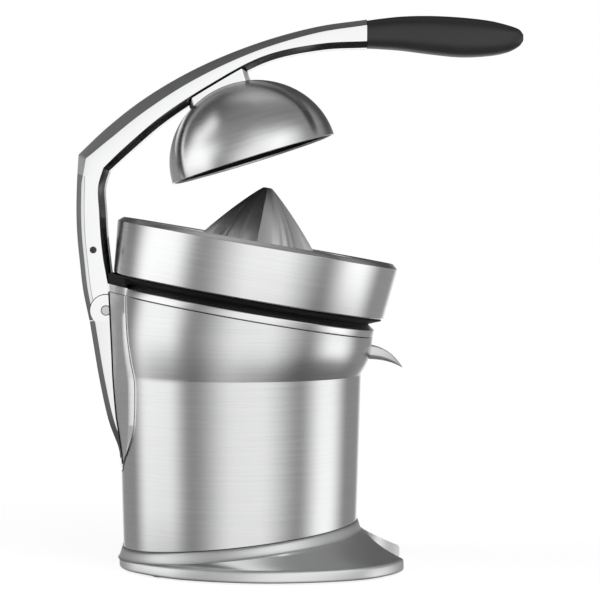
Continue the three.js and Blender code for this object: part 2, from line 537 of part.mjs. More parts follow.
// ---- spout and the duct that feeds it ------------------------------------------------------------
const SPOUT_HALF = 11;
const SPOUT_WALL = 1.6;
const spoutOutline = new THREE.Shape();
spoutOutline.moveTo(SPOUT_PIVOT.x - 6, 168);
spoutOutline.lineTo(SPOUT_PIVOT.x - 6, 176.5);
spoutOutline.lineTo(106, 177);
spoutOutline.quadraticCurveTo(121, 174, 129.8, 160);
spoutOutline.quadraticCurveTo(120, 165.4, 105.5, 166.2);
const spoutHollow = new THREE.Shape();
spoutHollow.moveTo(SPOUT_PIVOT.x - 8, 168 + SPOUT_WALL);
spoutHollow.lineTo(SPOUT_PIVOT.x - 8, 180);
spoutHollow.lineTo(107, 180);
spoutHollow.quadraticCurveTo(124, 176, 136, 158);
spoutHollow.lineTo(130, 160);
spoutHollow.quadraticCurveTo(120, 166.4 + SPOUT_WALL, 106, 167 + SPOUT_WALL);
add('spout', cut(plate(spoutOutline, -SPOUT_HALF, SPOUT_HALF),
  plate(spoutHollow, -SPOUT_HALF + SPOUT_WALL, SPOUT_HALF - SPOUT_WALL),
  crossRod(SPOUT_PIVOT, SPOUT_PIN_R + GAP / 2, -20, 20, 12)), finish.polished);

const CHEEK_GAP = 0.6;
const CHEEK = {
  rear: 77, front: SPOUT_PIVOT.x + 3.5, wall: 2.2, low: SPOUT_PIVOT.z - 4, top: 184, bridge: 177.8 };
const cheekOuter = SPOUT_HALF + CHEEK_GAP + CHEEK.wall;
const cheekPlate = plate([
  [CHEEK.rear + 3, CHEEK.bridge], [SPOUT_PIVOT.x - 3, CHEEK.low], [CHEEK.front, CHEEK.low],
  [CHEEK.front, SPOUT_PIVOT.z + 4], [CHEEK.rear + 8, CHEEK.top], [CHEEK.rear, CHEEK.top],
  [CHEEK.rear, CHEEK.bridge]], -cheekOuter, cheekOuter);
const DUCT_BOTTOM = -12;
const inDrain = geometry => leanToWorld(geometry.translate(DRAIN.x, 0, 0));
add('juice_duct', cut(
  join(cut(cheekPlate, block(0, 200, -cheekOuter + CHEEK.wall, cheekOuter - CHEEK.wall, 0, CHEEK.bridge)),
    inDrain(rod(DRAIN.r - GAP, DUCT_BOTTOM, DECK_TOP - 1)),
    inDrain(rod(DRAIN.r + 3, DECK_BOTTOM - 3, DECK_BOTTOM - GAP))),
  inDrain(rod(DRAIN.r - 2.5, -40, 40)),
  crossRod(SPOUT_PIVOT, SPOUT_PIN_R + GAP / 2, -20, 20, 12)), finish.black);
add('spout_pin', crossRod(SPOUT_PIVOT, SPOUT_PIN_R, -cheekOuter, cheekOuter, 12), finish.steel);

// ---- banded bars: the arm and the rear link ---------------------------------------------------------
// A rung joins a point on the outer edge to one on the inner edge. The section along each rung is a
// rectangle whose outer and inner corners are cut back by bands of the given depths.
const rung = (outerX, outerZ, innerX, innerZ, outerBand, innerBand) => ({
  outer: new THREE.Vector2(outerX, outerZ), inner: new THREE.Vector2(innerX, innerZ), outerBand, innerBand });

// Smooth rungs between the given ones, by splines through both edges.
function smooth(rungs, steps) {
  const edge = side => new THREE.CatmullRomCurve3(
    rungs.map(r => new THREE.Vector3(r[side].x, r[side].y, 0)), false, 'centripetal');
  const outer = edge('outer'), inner = edge('inner');
  return Array.from({ length: steps + 1 }, (_, i) => {
    const share = i / steps;
    const place = share * (rungs.length - 1);
    const low = Math.min(Math.floor(place), rungs.length - 2);
    const o = outer.getPoint(share), n = inner.getPoint(share);
    return rung(o.x, o.y, n.x, n.y,
      THREE.MathUtils.lerp(rungs[low].outerBand, rungs[low + 1].outerBand, place - low),
      THREE.MathUtils.lerp(rungs[low].innerBand, rungs[low + 1].innerBand, place - low));
  });
}

function ladder(rungs, half, step) {
  return skin(rungs.map(({ outer, inner, outerBand, innerBand }) => {
    const length = outer.distanceTo(inner);
    const at = (depth, y) => {
      const p = outer.clone().lerp(inner, depth / length);
      return new THREE.Vector3(p.x, y, p.y);
    };
    const outerStep = outerBand > 0 ? step : 0, innerStep = innerBand > 0 ? step : 0;
    const outerDepth = outerBand || 0.01, innerDepth = length - (innerBand || 0.01);
    return [
      at(0, half - outerStep), at(outerDepth, half), at(innerDepth, half), at(length, half - innerStep),
      at(length, -half + innerStep), at(innerDepth, -half), at(outerDepth, -half), at(0, -half + outerStep)];
  }));
}

// Rungs of the cast arm: the long sweep from the grip to the bend, then the upright to the pivot.
const sweep = smooth([
  rung(101, 436, 101, 414, 4.6, 4.5), rung(61, 430.2, 66, 412.2, 5, 4.5),
  rung(13, 416.9, 22, 402.8, 6, 4.8), rung(-35, 397, -22, 379.5, 7.6, 5),
  rung(-75, 373.8, -60, 354.4, 8.8, 5), rung(-105, 350.6, -88, 330.6, 8.8, 5),
  rung(-127.8, 329.2, -103.6, 316.4, 7, 4.6)], 15);
const upright = smooth([
  rung(-127.8, 329.2, -103.6, 316.4, 7, 4.6), rung(-129.1, 307, -107.4, 303, ARM_REAR_BAND, ARM_FRONT_BAND),
  rung(-129.6, 283, -106.6, 283, ARM_REAR_BAND, ARM_FRONT_BAND),
  rung(-128.9, 264, -105.6, 265, ARM_REAR_BAND, ARM_FRONT_BAND),
  rung(-127, 244, -103.5, 246, ARM_REAR_BAND, ARM_FRONT_BAND),
  rung(-124.5, 222, -100.9, 225, ARM_REAR_BAND, 3),
  rung(-119.5, PIN_A.z - 8.4, -97.5, PIN_A.z - 2, ARM_REAR_BAND, 1)], 10);
const ARM_HALF = ARM_WIDTH / 2;
const armBlank = ladder([...sweep, ...upright.slice(1)], ARM_HALF, BAND_STEP);
const coverRungs = grow => upright.slice(1).map(r => {
  const along = r.inner.clone().sub(r.outer).normalize();
  const outer = r.outer.clone().addScaledVector(along, -4);
  const inner = r.outer.clone().addScaledVector(along, COVER_DEPTH + grow);
  return rung(outer.x, outer.y, inner.x, inner.y, 0, 0);
});
const coverTool = grow => {
  const rungs = coverRungs(grow);
  const last = rungs[rungs.length - 1], before = rungs[rungs.length - 2];
  const run = last.outer.clone().sub(before.outer).normalize().multiplyScalar(8);
  const outer = last.outer.clone().add(run), inner = last.inner.clone().add(run);
  rungs.push(rung(outer.x, outer.y, inner.x, inner.y, 0, 0));
  return ladder(rungs, ARM_HALF + 1, 0);
};
const CHEEK_HALF = ARM_HALF - EAR - GAP;
const TONGUE_R = HEAD_R - 1.6;
const EAR_POCKET_R = HEAD_R + GAP;
const earPockets = [-1, 1].flatMap(side => {
  const y0 = side > 0 ? CHEEK_HALF : -ARM_HALF - 1, y1 = side > 0 ? ARM_HALF + 1 : -CHEEK_HALF;
  return [
    crossRod(PIN_A, EAR_POCKET_R, y0, y1, 28),
    block(PIN_A.x, -80, y0, y1, 180, PIN_A.z + EAR_POCKET_R)];
});
const SLOT_HALF = INNER_LINK / 2 + 0.4;
const linkSlot = plate([[PIN_B.x - 7.6, PIN_B.z + 8], [-90, PIN_B.z + 12], [-90, 185], [PIN_B.x - 3.5, 185],
  [PIN_B.x - 6.6, 225]], -SLOT_HALF, SLOT_HALF);
const tang = plate([[96, 420], [96, 430], [150, 431], [186, 428], [186, 418], [150, 419.5]], -7, 7);
// The bracket's plan, square to the dome's axis: a block with its four corners cut back by bands.
const BRACKET = { rear: -35.9, front: 16.6, half: ARM_WIDTH / 2 - 1, band: 4 };
const domeToWorld = new THREE.Matrix4().makeRotationY(DOME_TILT).setPosition(DOME_RIM.x, 0, DOME_RIM.z);
const DOME_STEPS = 5;            // facets from rim to top
const domeArc = inset => Array.from({ length: DOME_STEPS + 1 }, (_, i) => {
  const angle = i / DOME_STEPS * Math.PI / 2;
  return [(DOME_R - inset) * Math.cos(angle), (DOME_HEIGHT - inset) * Math.sin(angle)];
});
const domeSolid = revolve([[0, 0], ...domeArc(-GAP).slice(0, -1), [0, DOME_HEIGHT + GAP]])
  .applyMatrix4(domeToWorld);
const DOME_SCREW_R = 2.5;
const DOME_SCREW_REACH = 9;
const DOME_SCREW_HEAD = 2;
const domeScrewHole = () =>
  rod(DOME_SCREW_R + GAP / 2, DOME_HEIGHT - 20, DOME_HEIGHT + DOME_SCREW_REACH + GAP);
add('arm_casting', cut(join(armBlank, crossRod(PIN_A, TONGUE_R, -CHEEK_HALF, CHEEK_HALF, 24), tang),
  coverTool(GAP), ...earPockets, linkSlot, domeSolid, domeScrewHole().applyMatrix4(domeToWorld),
  crossRod(PIN_A, PIN_A_R + GAP / 2, -20, 20), crossRod(PIN_B, PIN_B_R + GAP / 2, -20, 20)), finish.polished);
add('arm_rear_cover', cut(common(armBlank, coverTool(0)), ...earPockets, linkSlot,
  crossRod(PIN_A, TONGUE_R + GAP, -CHEEK_HALF - GAP, CHEEK_HALF + GAP, 24)), finish.satin);
add('link_upper_pin', crossRod(PIN_A, PIN_A_R, -ARM_HALF - 0.6, ARM_HALF + 0.6), finish.steel);
add('arm_cross_pin', crossRod(PIN_B, PIN_B_R, -ARM_HALF - 0.4, ARM_HALF + 0.4), finish.dark);

// ---- rear link ----------------------------------------------------------------------------------------
const LINK_BAND = 4.5;
const LINK_WEB = 4.5;
const LINK_BOSS_R = 6.5;
const linkRungs = smooth([
  rung(-119.3, 196.6, -95.2, 199, LINK_BAND, 0), rung(-116.8, 181, -95, 184, LINK_BAND, 0),
  rung(-111.6, 150, -92.6, 154, LINK_BAND, 0), rung(-104.3, 117, -88.4, 122, LINK_BAND, 0),
  rung(-96.4, 95, -84.2, 98, 4, 0), rung(-95.1, PIN_G1.z, -82.9, PIN_G1.z + 1, 3.5, 0)], 10);
const linkPocket = smooth(linkRungs.slice(0, -1).map((r, i, all) => {
  const along = r.inner.clone().sub(r.outer).normalize();
  const outer = r.outer.clone().addScaledVector(along, LINK_WEB);
  const inner = r.inner.clone().addScaledVector(along, 6);
  const lift = i === 0 ? 30 : 0;
  return rung(outer.x - lift * 0.1, outer.y + lift, inner.x, inner.y + lift, 0, 0);
}), 10);
const EAR_INNER = ARM_HALF - EAR;
add('rear_link', cut(
  join(ladder(linkRungs, ARM_HALF, BAND_STEP), crossRod(PIN_A, HEAD_R, -ARM_HALF, ARM_HALF, 28),
    crossRod(PIN_G1, LINK_BOSS_R, -ARM_HALF, ARM_HALF)),
  ladder(linkPocket, EAR_INNER, 0),
  crossRod(PIN_A, HEAD_R + 3, -EAR_INNER, EAR_INNER, 24),
  crossRod(PIN_A, PIN_A_R + GAP / 2, -20, 20), crossRod(PIN_G1, PIN_G1_R + GAP / 2, -20, 20)), finish.satin);

// ---- inner link: forked round the lug below, a wide eye round the cross pin above -----------------------
const INNER_HALF = INNER_LINK / 2;
const EYE_R = PIN_B_R + OPEN_PIVOT_PLAY + GAP;
const INNER_LINK_HALF = 4;       // half the inner link's depth
const linkRun = new THREE.Vector2(PIN_B.x - PIN_G2.x, PIN_B.z - PIN_G2.z).normalize();
const linkSide = new THREE.Vector2(-linkRun.y, linkRun.x).multiplyScalar(INNER_LINK_HALF);
add('inner_link', cut(
  join(crossRod(PIN_B, EYE_R + 1.8, -INNER_HALF, INNER_HALF, 20),
    crossRod(PIN_G2, LUG_R, -INNER_HALF, INNER_HALF),
    plate([[PIN_G2.x + linkSide.x, PIN_G2.z + linkSide.y], [PIN_B.x + linkSide.x, PIN_B.z + linkSide.y],
      [PIN_B.x - linkSide.x, PIN_B.z - linkSide.y], [PIN_G2.x - linkSide.x, PIN_G2.z - linkSide.y]],
    -INNER_HALF, INNER_HALF)),
  crossRod(PIN_G2, LUG_R + 5, -LUG / 2 - GAP, LUG / 2 + GAP, 18),
  crossRod(PIN_B, EYE_R, -20, 20, 18), crossRod(PIN_G2, PIN_G2_R + GAP / 2, -20, 20)), finish.steel);

// ---- grip ------------------------------------------------------------------------------------------------
// Sections of the grip: place along X, top, bottom and half width.
const GRIP_SECTIONS = [
  [101.4, 435.9, 414.1, 15], [112, 437.4, 413.6, 15.6], [130, 439.2, 412.2, 16.4],
  [152, 439.6, 409.4, 17.2], [176, 438.4, 407.1, 17.4], [198, 435.9, 408, 16.4],
  [213, 432.4, 410.8, 14], [222, 429.2, 415.2, 10], [225.6, 425.4, 419.4, 5]];
const GRIP_FACETS = 16;
const gripRing = ([x, top, bottom, half]) => Array.from({ length: GRIP_FACETS }, (_, i) => {
  const angle = i / GRIP_FACETS * Math.PI * 2;
  const squared = value => Math.sign(value) * Math.pow(Math.abs(value), 0.72);
  return new THREE.Vector3(x, half * squared(Math.cos(angle)),
    (top + bottom) / 2 + (top - bottom) / 2 * squared(Math.sin(angle)));
});
const tangSocket = plate([
  [90, 420 - GAP], [96, 420 - GAP], [150, 419.5 - GAP], [186 + GAP, 418 - GAP],
  [186 + GAP, 428 + GAP], [150, 431 + GAP], [96, 430 + GAP], [90, 430 + GAP]], -7 - GAP, 7 + GAP);
add('grip', cut(skin(GRIP_SECTIONS.map(gripRing)), tangSocket), finish.grip);

// ---- dome -----------------------------------------------------------------------------------------------
const dome = new THREE.Group();
dome.position.set(DOME_RIM.x, 0, DOME_RIM.z);
dome.rotation.y = DOME_TILT;
juicer.add(dome);
const shellOf = (outside, inside, segments = ROUND) => revolve([
  ...domeArc(outside).slice(0, -1), [0, DOME_HEIGHT - outside],
  [0, DOME_HEIGHT - inside], ...domeArc(inside).slice(0, -1).reverse()], segments, true);
add('press_dome', cut(shellOf(0, DOME_WALL), domeScrewHole()), finish.brushed, dome);
const LINER_OUTSIDE = DOME_WALL + 2 * GAP;
const LINER_DEPTH = LINER_OUTSIDE + LINER + 1;     // from the dome's top down to the screw's head
add('dome_liner', cut(shellOf(LINER_OUTSIDE, LINER_OUTSIDE + LINER, 28), domeScrewHole(),
  block(-100, 100, -100, 100, -1, 1.5)), finish.black, dome);

// ---- bracket between arm and dome ------------------------------------------------------------------------
// The bracket fits round the bands of the arm's inner edge and stands on the dome.
const overBracket = sweep.slice(4, 15);
const armRoom = ladder(overBracket.map(({ outer, inner, outerBand, innerBand }) => {
  const lower = inner.clone().add(inner.clone().sub(outer).setLength(GAP));
  return rung(outer.x, outer.y, lower.x, lower.y, outerBand, innerBand);
}), ARM_HALF + GAP, BAND_STEP);
const bandEdge = overBracket.map(({ outer, inner, innerBand }) =>
  inner.clone().lerp(outer, innerBand / inner.distanceTo(outer)));
const bracketSide = plate([
  ...bandEdge.map(({ x, y }) => [x, y]),
  ...overBracket.map(({ inner }) => [inner.x, inner.y - 20]).reverse()], -ARM_HALF, ARM_HALF);
const bracketPlan = pillar([
  [BRACKET.rear, BRACKET.half - BRACKET.band], [BRACKET.rear + BRACKET.band, BRACKET.half],
  [BRACKET.front - BRACKET.band, BRACKET.half], [BRACKET.front, BRACKET.half - BRACKET.band],
  [BRACKET.front, BRACKET.band - BRACKET.half], [BRACKET.front - BRACKET.band, -BRACKET.half],
  [BRACKET.rear + BRACKET.band, -BRACKET.half], [BRACKET.rear, BRACKET.band - BRACKET.half]],
30, DOME_HEIGHT + 30).applyMatrix4(domeToWorld);
add('dome_bracket', cut(common(bracketPlan, bracketSide), armRoom, domeSolid,
  domeScrewHole().applyMatrix4(domeToWorld)), finish.polished);
add('dome_screw', join(rod(DOME_SCREW_R, DOME_HEIGHT - LINER_DEPTH - 1, DOME_HEIGHT + DOME_SCREW_REACH),
  rod(DOME_SCREW_R * 2, DOME_HEIGHT - LINER_DEPTH - DOME_SCREW_HEAD, DOME_HEIGHT - LINER_DEPTH)),
finish.steel, dome);

// The origin goes under the middle of the bounding box, on the plane of the feet.
juicer.updateMatrixWorld(true);
const extent = new THREE.Box3().setFromObject(juicer);
juicer.position.x = -(extent.min.x + extent.max.x) / 2;
juicer.position.y = -(extent.min.y + extent.max.y) / 2;

export default juicer;
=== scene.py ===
"""Lever citrus press: a cast foot, a brushed barrel with its spine, a leaning bowl with strainer and cone,
and a cast arm on a folding link that carries the press dome. Shapes are worked out in millimetres from the
barrel's own axis, and placed in the frame in metres."""
import json
import math
from functools import partial

import bmesh
import bpy
import numpy as np
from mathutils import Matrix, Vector

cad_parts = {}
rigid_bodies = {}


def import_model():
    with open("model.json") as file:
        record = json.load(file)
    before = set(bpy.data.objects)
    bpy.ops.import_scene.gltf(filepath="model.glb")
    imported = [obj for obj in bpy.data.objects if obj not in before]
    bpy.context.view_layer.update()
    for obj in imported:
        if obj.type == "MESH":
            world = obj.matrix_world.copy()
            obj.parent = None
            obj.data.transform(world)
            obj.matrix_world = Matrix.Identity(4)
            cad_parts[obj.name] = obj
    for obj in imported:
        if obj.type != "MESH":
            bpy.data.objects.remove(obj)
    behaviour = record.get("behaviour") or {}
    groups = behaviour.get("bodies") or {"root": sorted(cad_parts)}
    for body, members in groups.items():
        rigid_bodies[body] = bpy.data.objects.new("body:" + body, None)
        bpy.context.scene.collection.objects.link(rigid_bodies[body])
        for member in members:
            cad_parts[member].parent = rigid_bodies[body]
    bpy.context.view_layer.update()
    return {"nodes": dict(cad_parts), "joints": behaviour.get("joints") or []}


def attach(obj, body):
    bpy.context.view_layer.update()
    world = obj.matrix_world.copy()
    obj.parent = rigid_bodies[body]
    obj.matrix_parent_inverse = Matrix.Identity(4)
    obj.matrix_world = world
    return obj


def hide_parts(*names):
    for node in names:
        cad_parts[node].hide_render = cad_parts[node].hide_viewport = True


for left_over in list(bpy.data.objects):
    bpy.data.objects.remove(left_over)
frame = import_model()

# ------------------------------
# Place of the press: the barrel stands upright and the bowl leans forwards on the drive spindle.
# The spindle's bearing gives both axes.
SEAM_X, SEAM_Z = 4.3, 201.8                       # middle of the seam under the trim band
spindle = next(j for j in frame["joints"] if j["name"] == "spindle_spin")
spindle_at = spindle.get("pos_m") or spindle["pos"]
LEAN = math.atan2(spindle["axis"][0], spindle["axis"][2])
BARREL_X = spindle_at[0] - SEAM_X / 1000          # barrel axis in the frame, in metres


def placed(points):
    """Millimetres from the barrel axis to metres in the frame."""
    metres = np.array(points, float) / 1000
    metres[..., 0] += BARREL_X
    return metres


# ------------------------------
# Camera: a long lens, level with the bowl and looking square at the side of the arm. It stands far
# enough off that the press is drawn with little perspective.
CAMERA_AT, CAMERA_AIM = (48, -1720, 269), (48, 0, 213.4)
LENS, SENSOR, FAR_END = 129, 36, 20


def shown(name, data):
    """A new object in the scene, at the origin."""
    thing = bpy.data.objects.new(name, data)
    bpy.context.collection.objects.link(thing)
    return thing


camera = shown("camera", bpy.data.cameras.new("camera"))
camera.data.lens, camera.data.sensor_width, camera.data.clip_end = LENS, SENSOR, FAR_END
camera.location = placed(CAMERA_AT)
looks = Vector(placed(CAMERA_AIM)) - camera.location
camera.rotation_euler = looks.to_track_quat("-Z", "Y").to_euler()
bpy.context.scene.camera = camera
bpy.context.scene.view_settings.view_transform = "Standard"

# ------------------------------
# Studio: a plain pale floor and backdrop. Steel shows a dim room, darker behind, with soft panels. Each has
# its middle's bearing from straight ahead, half width, soft edge, lowest and highest edge, how soft those
# are, all in degrees, and its brightness. They lean above eye level. Steel doesn't show the floor.
PANELS = [(-85, 26, 24, -15, 19, 9, 0.98), (8, 33, 44, -40, 38, 9, 0.76), (92, 19, 30, -24, 2, 4, 1.08),
          (34, 26, 30, 12, 34, 9, 0.4), (-110, 13, 14, 21, 50, 5, 0.85), (160, 60, 40, 62, 120, 14, 0.45),
          (180, 17, 18, -45, -2, 8, 0.9)]
PANEL_LEAN = 0.8
ROOM_TONE, REAR_TONE, CEILING_TONE, BELOW_TONE = 0.3, 0.07, 0.2, 0.1
LEAN_TO = 0.6                                     # above this height, in radians, they lean no further
CEILING_FROM, BELOW_FROM = (25, 60), (-15, -40)   # heights over which the room takes their tones
DIM_BESIDE, DIM_ABOVE = (100, 130), (2, 14)       # bearings and heights over which it gets darker behind
FLOOR_HALF, FLOOR_PALE, FLOOR_GLOW = 6, (0.93, 0.93, 0.93, 1), 0.72
WHITE = (1, 1, 1, 1)


def node(tree, kind, inputs=(), **settings):
    """A shader or geometry node with its settings, and its inputs as values, links or lists of links."""
    made = tree.nodes.new(kind)
    for key, value in settings.items():
        setattr(made, key, value)
    for socket, value in dict(inputs).items():
        sources = value if isinstance(value, list) else [value]
        if isinstance(sources[0], bpy.types.NodeSocket):
            for source in sources:
                tree.links.new(source, made.inputs[socket])
        else:
            made.inputs[socket].default_value = value
    return made


def reckon(tree, operation, a, b=0.0, c=0.0):
    """One step of arithmetic."""
    return node(tree, "ShaderNodeMath", {0: a, 1: b, 2: c}, operation=operation).outputs[0]


world = bpy.data.worlds.new("studio")
bpy.context.scene.world = world
world.use_nodes = True
sky = world.node_tree
sky.nodes.clear()
sky_sum = partial(reckon, sky)


def sky_fade(value, start, end, low=0.0, high=1.0):
    """A soft step from low to high as the value, in radians, passes from start to end, in degrees."""
    return node(sky, "ShaderNodeMapRange", {
        0: value, 1: math.radians(start), 2: math.radians(end), 3: low, 4: high},
        interpolation_type="SMOOTHSTEP").outputs[0]


all_round = node(sky, "ShaderNodeTexCoord").outputs["Generated"]
towards = node(sky, "ShaderNodeSeparateXYZ", {0: all_round}).outputs
height = sky_sum("ARCSINE", towards[2])
bearing = sky_sum("ARCTAN2", towards[0], sky_sum("MULTIPLY", towards[1], -1.0))
leant = sky_sum("MULTIPLY", sky_sum("MAXIMUM", sky_sum("MINIMUM", height, LEAN_TO), 0.0), PANEL_LEAN)
bearing = sky_sum("SUBTRACT", bearing, leant)
level = sky_sum("ADD", sky_fade(height, *CEILING_FROM, ROOM_TONE, CEILING_TONE),
                sky_fade(height, *BELOW_FROM, 0.0, BELOW_TONE - ROOM_TONE))
darker = sky_sum("MULTIPLY", sky_fade(sky_sum("ABSOLUTE", bearing), *DIM_BESIDE),
                 sky_fade(height, *DIM_ABOVE))
level = sky_sum("MULTIPLY", level, sky_sum("MULTIPLY_ADD", darker, REAR_TONE / ROOM_TONE - 1, 1.0))
for middle, half, soft, low, high, blur, brightness in PANELS:
    off = sky_sum("WRAP", sky_sum("SUBTRACT", bearing, math.radians(middle)), math.pi, -math.pi)
    beside = sky_fade(sky_sum("ABSOLUTE", off), half + soft / 2, half - soft / 2, 0.0, brightness)
    within = sky_sum("MULTIPLY", sky_fade(height, low - blur, low + blur),
                     sky_fade(height, high + blur, high - blur))
    level = sky_sum("MULTIPLY_ADD", beside, within, level)
reflected = node(sky, "ShaderNodeBackground", {0: WHITE, 1: level})
backdrop = node(sky, "ShaderNodeBackground", {0: WHITE, 1: 1.0})
seen = node(sky, "ShaderNodeLightPath")
studio = node(sky, "ShaderNodeMixShader", {
    0: seen.outputs["Is Camera Ray"], 1: reflected.outputs[0], 2: backdrop.outputs[0]})
node(sky, "ShaderNodeOutputWorld", {0: studio.outputs[0]})

floor_mesh = bpy.data.meshes.new("floor")
corners = [(x * FLOOR_HALF, y * FLOOR_HALF, 0) for x, y in ((-1, -1), (1, -1), (1, 1), (-1, 1))]
floor_mesh.from_pydata(corners, [], [(0, 1, 2, 3)])
floor = shown("floor", floor_mesh)
floor.visible_glossy = False
floor_finish = bpy.data.materials.new("floor")
floor_finish.use_nodes = True
paint = floor_finish.node_tree
paint.nodes.clear()
matt = node(paint, "ShaderNodeBsdfDiffuse", {0: FLOOR_PALE})
glow = node(paint, "ShaderNodeEmission", {0: WHITE, 1: FLOOR_GLOW})
lit = node(paint, "ShaderNodeAddShader", {0: matt.outputs[0], 1: glow.outputs[0]})
node(paint, "ShaderNodeOutputMaterial", {0: lit.outputs[0]})
floor_mesh.materials.append(floor_finish)


# ------------------------------
# Foot casting: one satin aluminium casting with an upright lip, a flank that climbs to a collar under
# the barrel, and a round bay at the front for the glass. It is hollow underneath.
FOOT_HEIGHT = 1.6
LIP_HEIGHT = 10
SEAT_HEIGHT, SEAT_SLOPE = 27.5, 0.11
BARREL_R_LOW = 93.5
FOOT_CENTRE = 17
FOOT_PLAN = [(-96.5, 0), (-93, 27), (-79, 52), (-45, 83), (3, 99.5), (48, 99.5), (92, 86), (117, 63),
             (130, 34), (131, 0)]
NOTCH_X, NOTCH_R = 139, 37
POCKET = (60.5, 52, 17)                           # half length, half width and depth of the hollow
WIRE_HOLE_R, TOOL_LOW, TOOL_HIGH = 9, -1, 60
PLAN_STEPS, FLANK_STEPS = 240, 12


def spline(points, shares, closed=False, centripetal=True):
    """Points on a Catmull-Rom curve through the given ones."""
    p = np.array(points, float)
    count = len(p)
    if closed:
        p = np.vstack([p[-1], p, p[:2]])
        spans = count
    else:
        p = np.vstack([2 * p[0] - p[1], p, 2 * p[-1] - p[-2]])
        spans = count - 1
    out = []
    for share in shares:
        place = min(share * spans, spans - 1e-9)
        i = int(place)
        t = place - i
        a, b, c, d = p[i], p[i + 1], p[i + 2], p[i + 3]
        if centripetal:
            ab, bc, cd = (max(np.linalg.norm(v) ** 0.5, 1e-4) for v in (b - a, c - b, d - c))
            start = ((b - a) / ab - (c - a) / (ab + bc) + (c - b) / bc) * bc
            end = ((c - b) / bc - (d - b) / (bc + cd) + (d - c) / cd) * bc
        else:
            start, end = (c - a) / 2, (d - b) / 2
        out.append(b + start * t + (3 * (c - b) - 2 * start - end) * t * t
                   + (2 * (b - c) + start + end) * t ** 3)
    return np.array(out)


def evenly(points, count, closed=False):
    """The same path with its points evenly spaced."""
    p = np.vstack([points, points[:1]]) if closed else np.array(points)
    run = np.concatenate([[0], np.cumsum(np.linalg.norm(np.diff(p, axis=0), axis=1))])
    at = np.linspace(0, run[-1], count + 1)[:-1] if closed else np.linspace(0, run[-1], count)
    return np.stack([np.interp(at, run, p[:, k]) for k in range(p.shape[1])], -1)


def lofted(name, rings, loop=False):
    """A closed skin over rings of equal count. The ends are capped, or joined to each other in a loop.
    The map runs round the rings across and along them upwards."""
    rings = np.array(rings, float)
    rows, count = rings.shape[:2]
    mesh = bpy.data.meshes.new(name)
    verts = placed(rings.reshape(-1, 3))
    faces, marks = [], []
    run = np.concatenate([[0], np.cumsum(np.linalg.norm(np.diff(rings, axis=0), axis=2).mean(1))]) / 100
    for r in range(rows if loop else rows - 1):
        n = (r + 1) % rows
        top = run[n] if n else run[r] + 0.01
        for i in range(count):
            j = (i + 1) % count
            faces.append((r * count + i, r * count + j, n * count + j, n * count + i))
            near, far = i / count, (i + 1) / count
            marks += [(near, run[r]), (far, run[r]), (far, top), (near, top)]
    if not loop:
        for start, level in ((0, 0.0), ((rows - 1) * count, run[-1])):
            ring = [start + i for i in range(count)]
            faces.append(tuple(ring))
            marks += [(i / count, level) for i in range(count)]
    mesh.from_pydata([tuple(v) for v in verts], [], faces)
    layer = mesh.uv_layers.new(name="round_and_along")
    layer.data.foreach_set("uv", np.array(marks, float).ravel())
    facing_out(mesh)
    return shown(name, mesh)


def facing_out(mesh, apart=1e-6):
    """Merges doubles, drops empty faces and turns every face outwards."""
    shell = bmesh.new()
    shell.from_mesh(mesh)
    bmesh.ops.remove_doubles(shell, verts=shell.verts, dist=apart)
    bmesh.ops.dissolve_degenerate(shell, edges=shell.edges, dist=apart)
    bmesh.ops.recalc_face_normals(shell, faces=shell.faces)
    shell.to_mesh(mesh)
    shell.free()


def settled(piece):
    """The piece with its modifiers made part of its mesh."""
    evaluated = piece.evaluated_get(bpy.context.evaluated_depsgraph_get())
    mesh = bpy.data.meshes.new_from_object(evaluated)
    piece.modifiers.clear()
    piece.data = mesh
    return piece


def worked(operation, piece, *tools):
    """The piece cut by the tools, joined with them, or kept only where they are."""
    for tool in tools:
        step = piece.modifiers.new("work", "BOOLEAN")
        step.operation = operation
        step.solver = "MANIFOLD"
        step.object = tool
    bpy.context.view_layer.update()
    settled(piece)
    for tool in tools:
        bpy.data.objects.remove(tool)
    return piece


cut, joined, kept_in = (partial(worked, step) for step in ("DIFFERENCE", "UNION", "INTERSECT"))


def eased(piece, bevel, angle, segments=2):
    """A live bevel, in millimetres, on the edges sharper than the angle."""
    step = piece.modifiers.new("eased", "BEVEL")
    step.width = bevel / 1000
    step.segments = segments
    step.limit_method = "ANGLE"
    step.angle_limit = math.radians(angle)
    return step


def smoothed(piece, angle=32, bevel=0.0, segments=2, bevel_angle=30):
    """Eases the sharp edges by a bevel in millimetres and shades the rest smooth."""
    if bevel:
        eased(piece, bevel, bevel_angle, segments).miter_outer = "MITER_ARC"
        settled(piece)
        facing_out(piece.data, 0.00002)
    piece.data.shade_smooth()
    piece.data.set_sharp_from_angle(angle=math.radians(angle))
    return piece


def around(count):
    """Even angles round a full turn."""
    return np.arange(count) / count * 2 * math.pi


def cylinder(name, r, z0, z1, at=(0, 0), count=96, stretch=(1, 1), lean=None):
    """An upright round tool, or one on a leaning axis."""
    turns = around(count)
    rings = [np.stack([at[0] + r * stretch[0] * np.cos(turns), at[1] + r * stretch[1] * np.sin(turns),
                       np.full(count, float(z))], -1) for z in (z0, z1)]
    return lofted(name, lean(rings) if lean else rings)


plan_points = FOOT_PLAN + [(x, -y) for x, y in FOOT_PLAN[-2:0:-1]]
fine_plan = spline(plan_points, np.linspace(0, 1, 901)[:-1], closed=True, centripetal=False)
plan = evenly(fine_plan, PLAN_STEPS, closed=True)
out_from = plan - (FOOT_CENTRE, 0)
reach = np.linalg.norm(out_from, axis=1)[:, None]


def foot_ring(inset, height):
    ring = (FOOT_CENTRE, 0) + out_from * (reach - inset) / reach
    return np.column_stack([ring, np.full(len(ring), float(height))])


def seat_ring(radius, drop):
    turns = np.arctan2(plan[:, 1], plan[:, 0] - FOOT_CENTRE)
    x, y = radius * np.cos(turns), radius * np.sin(turns)
    return np.column_stack([x, y, SEAT_HEIGHT + SEAT_SLOPE * x - drop])


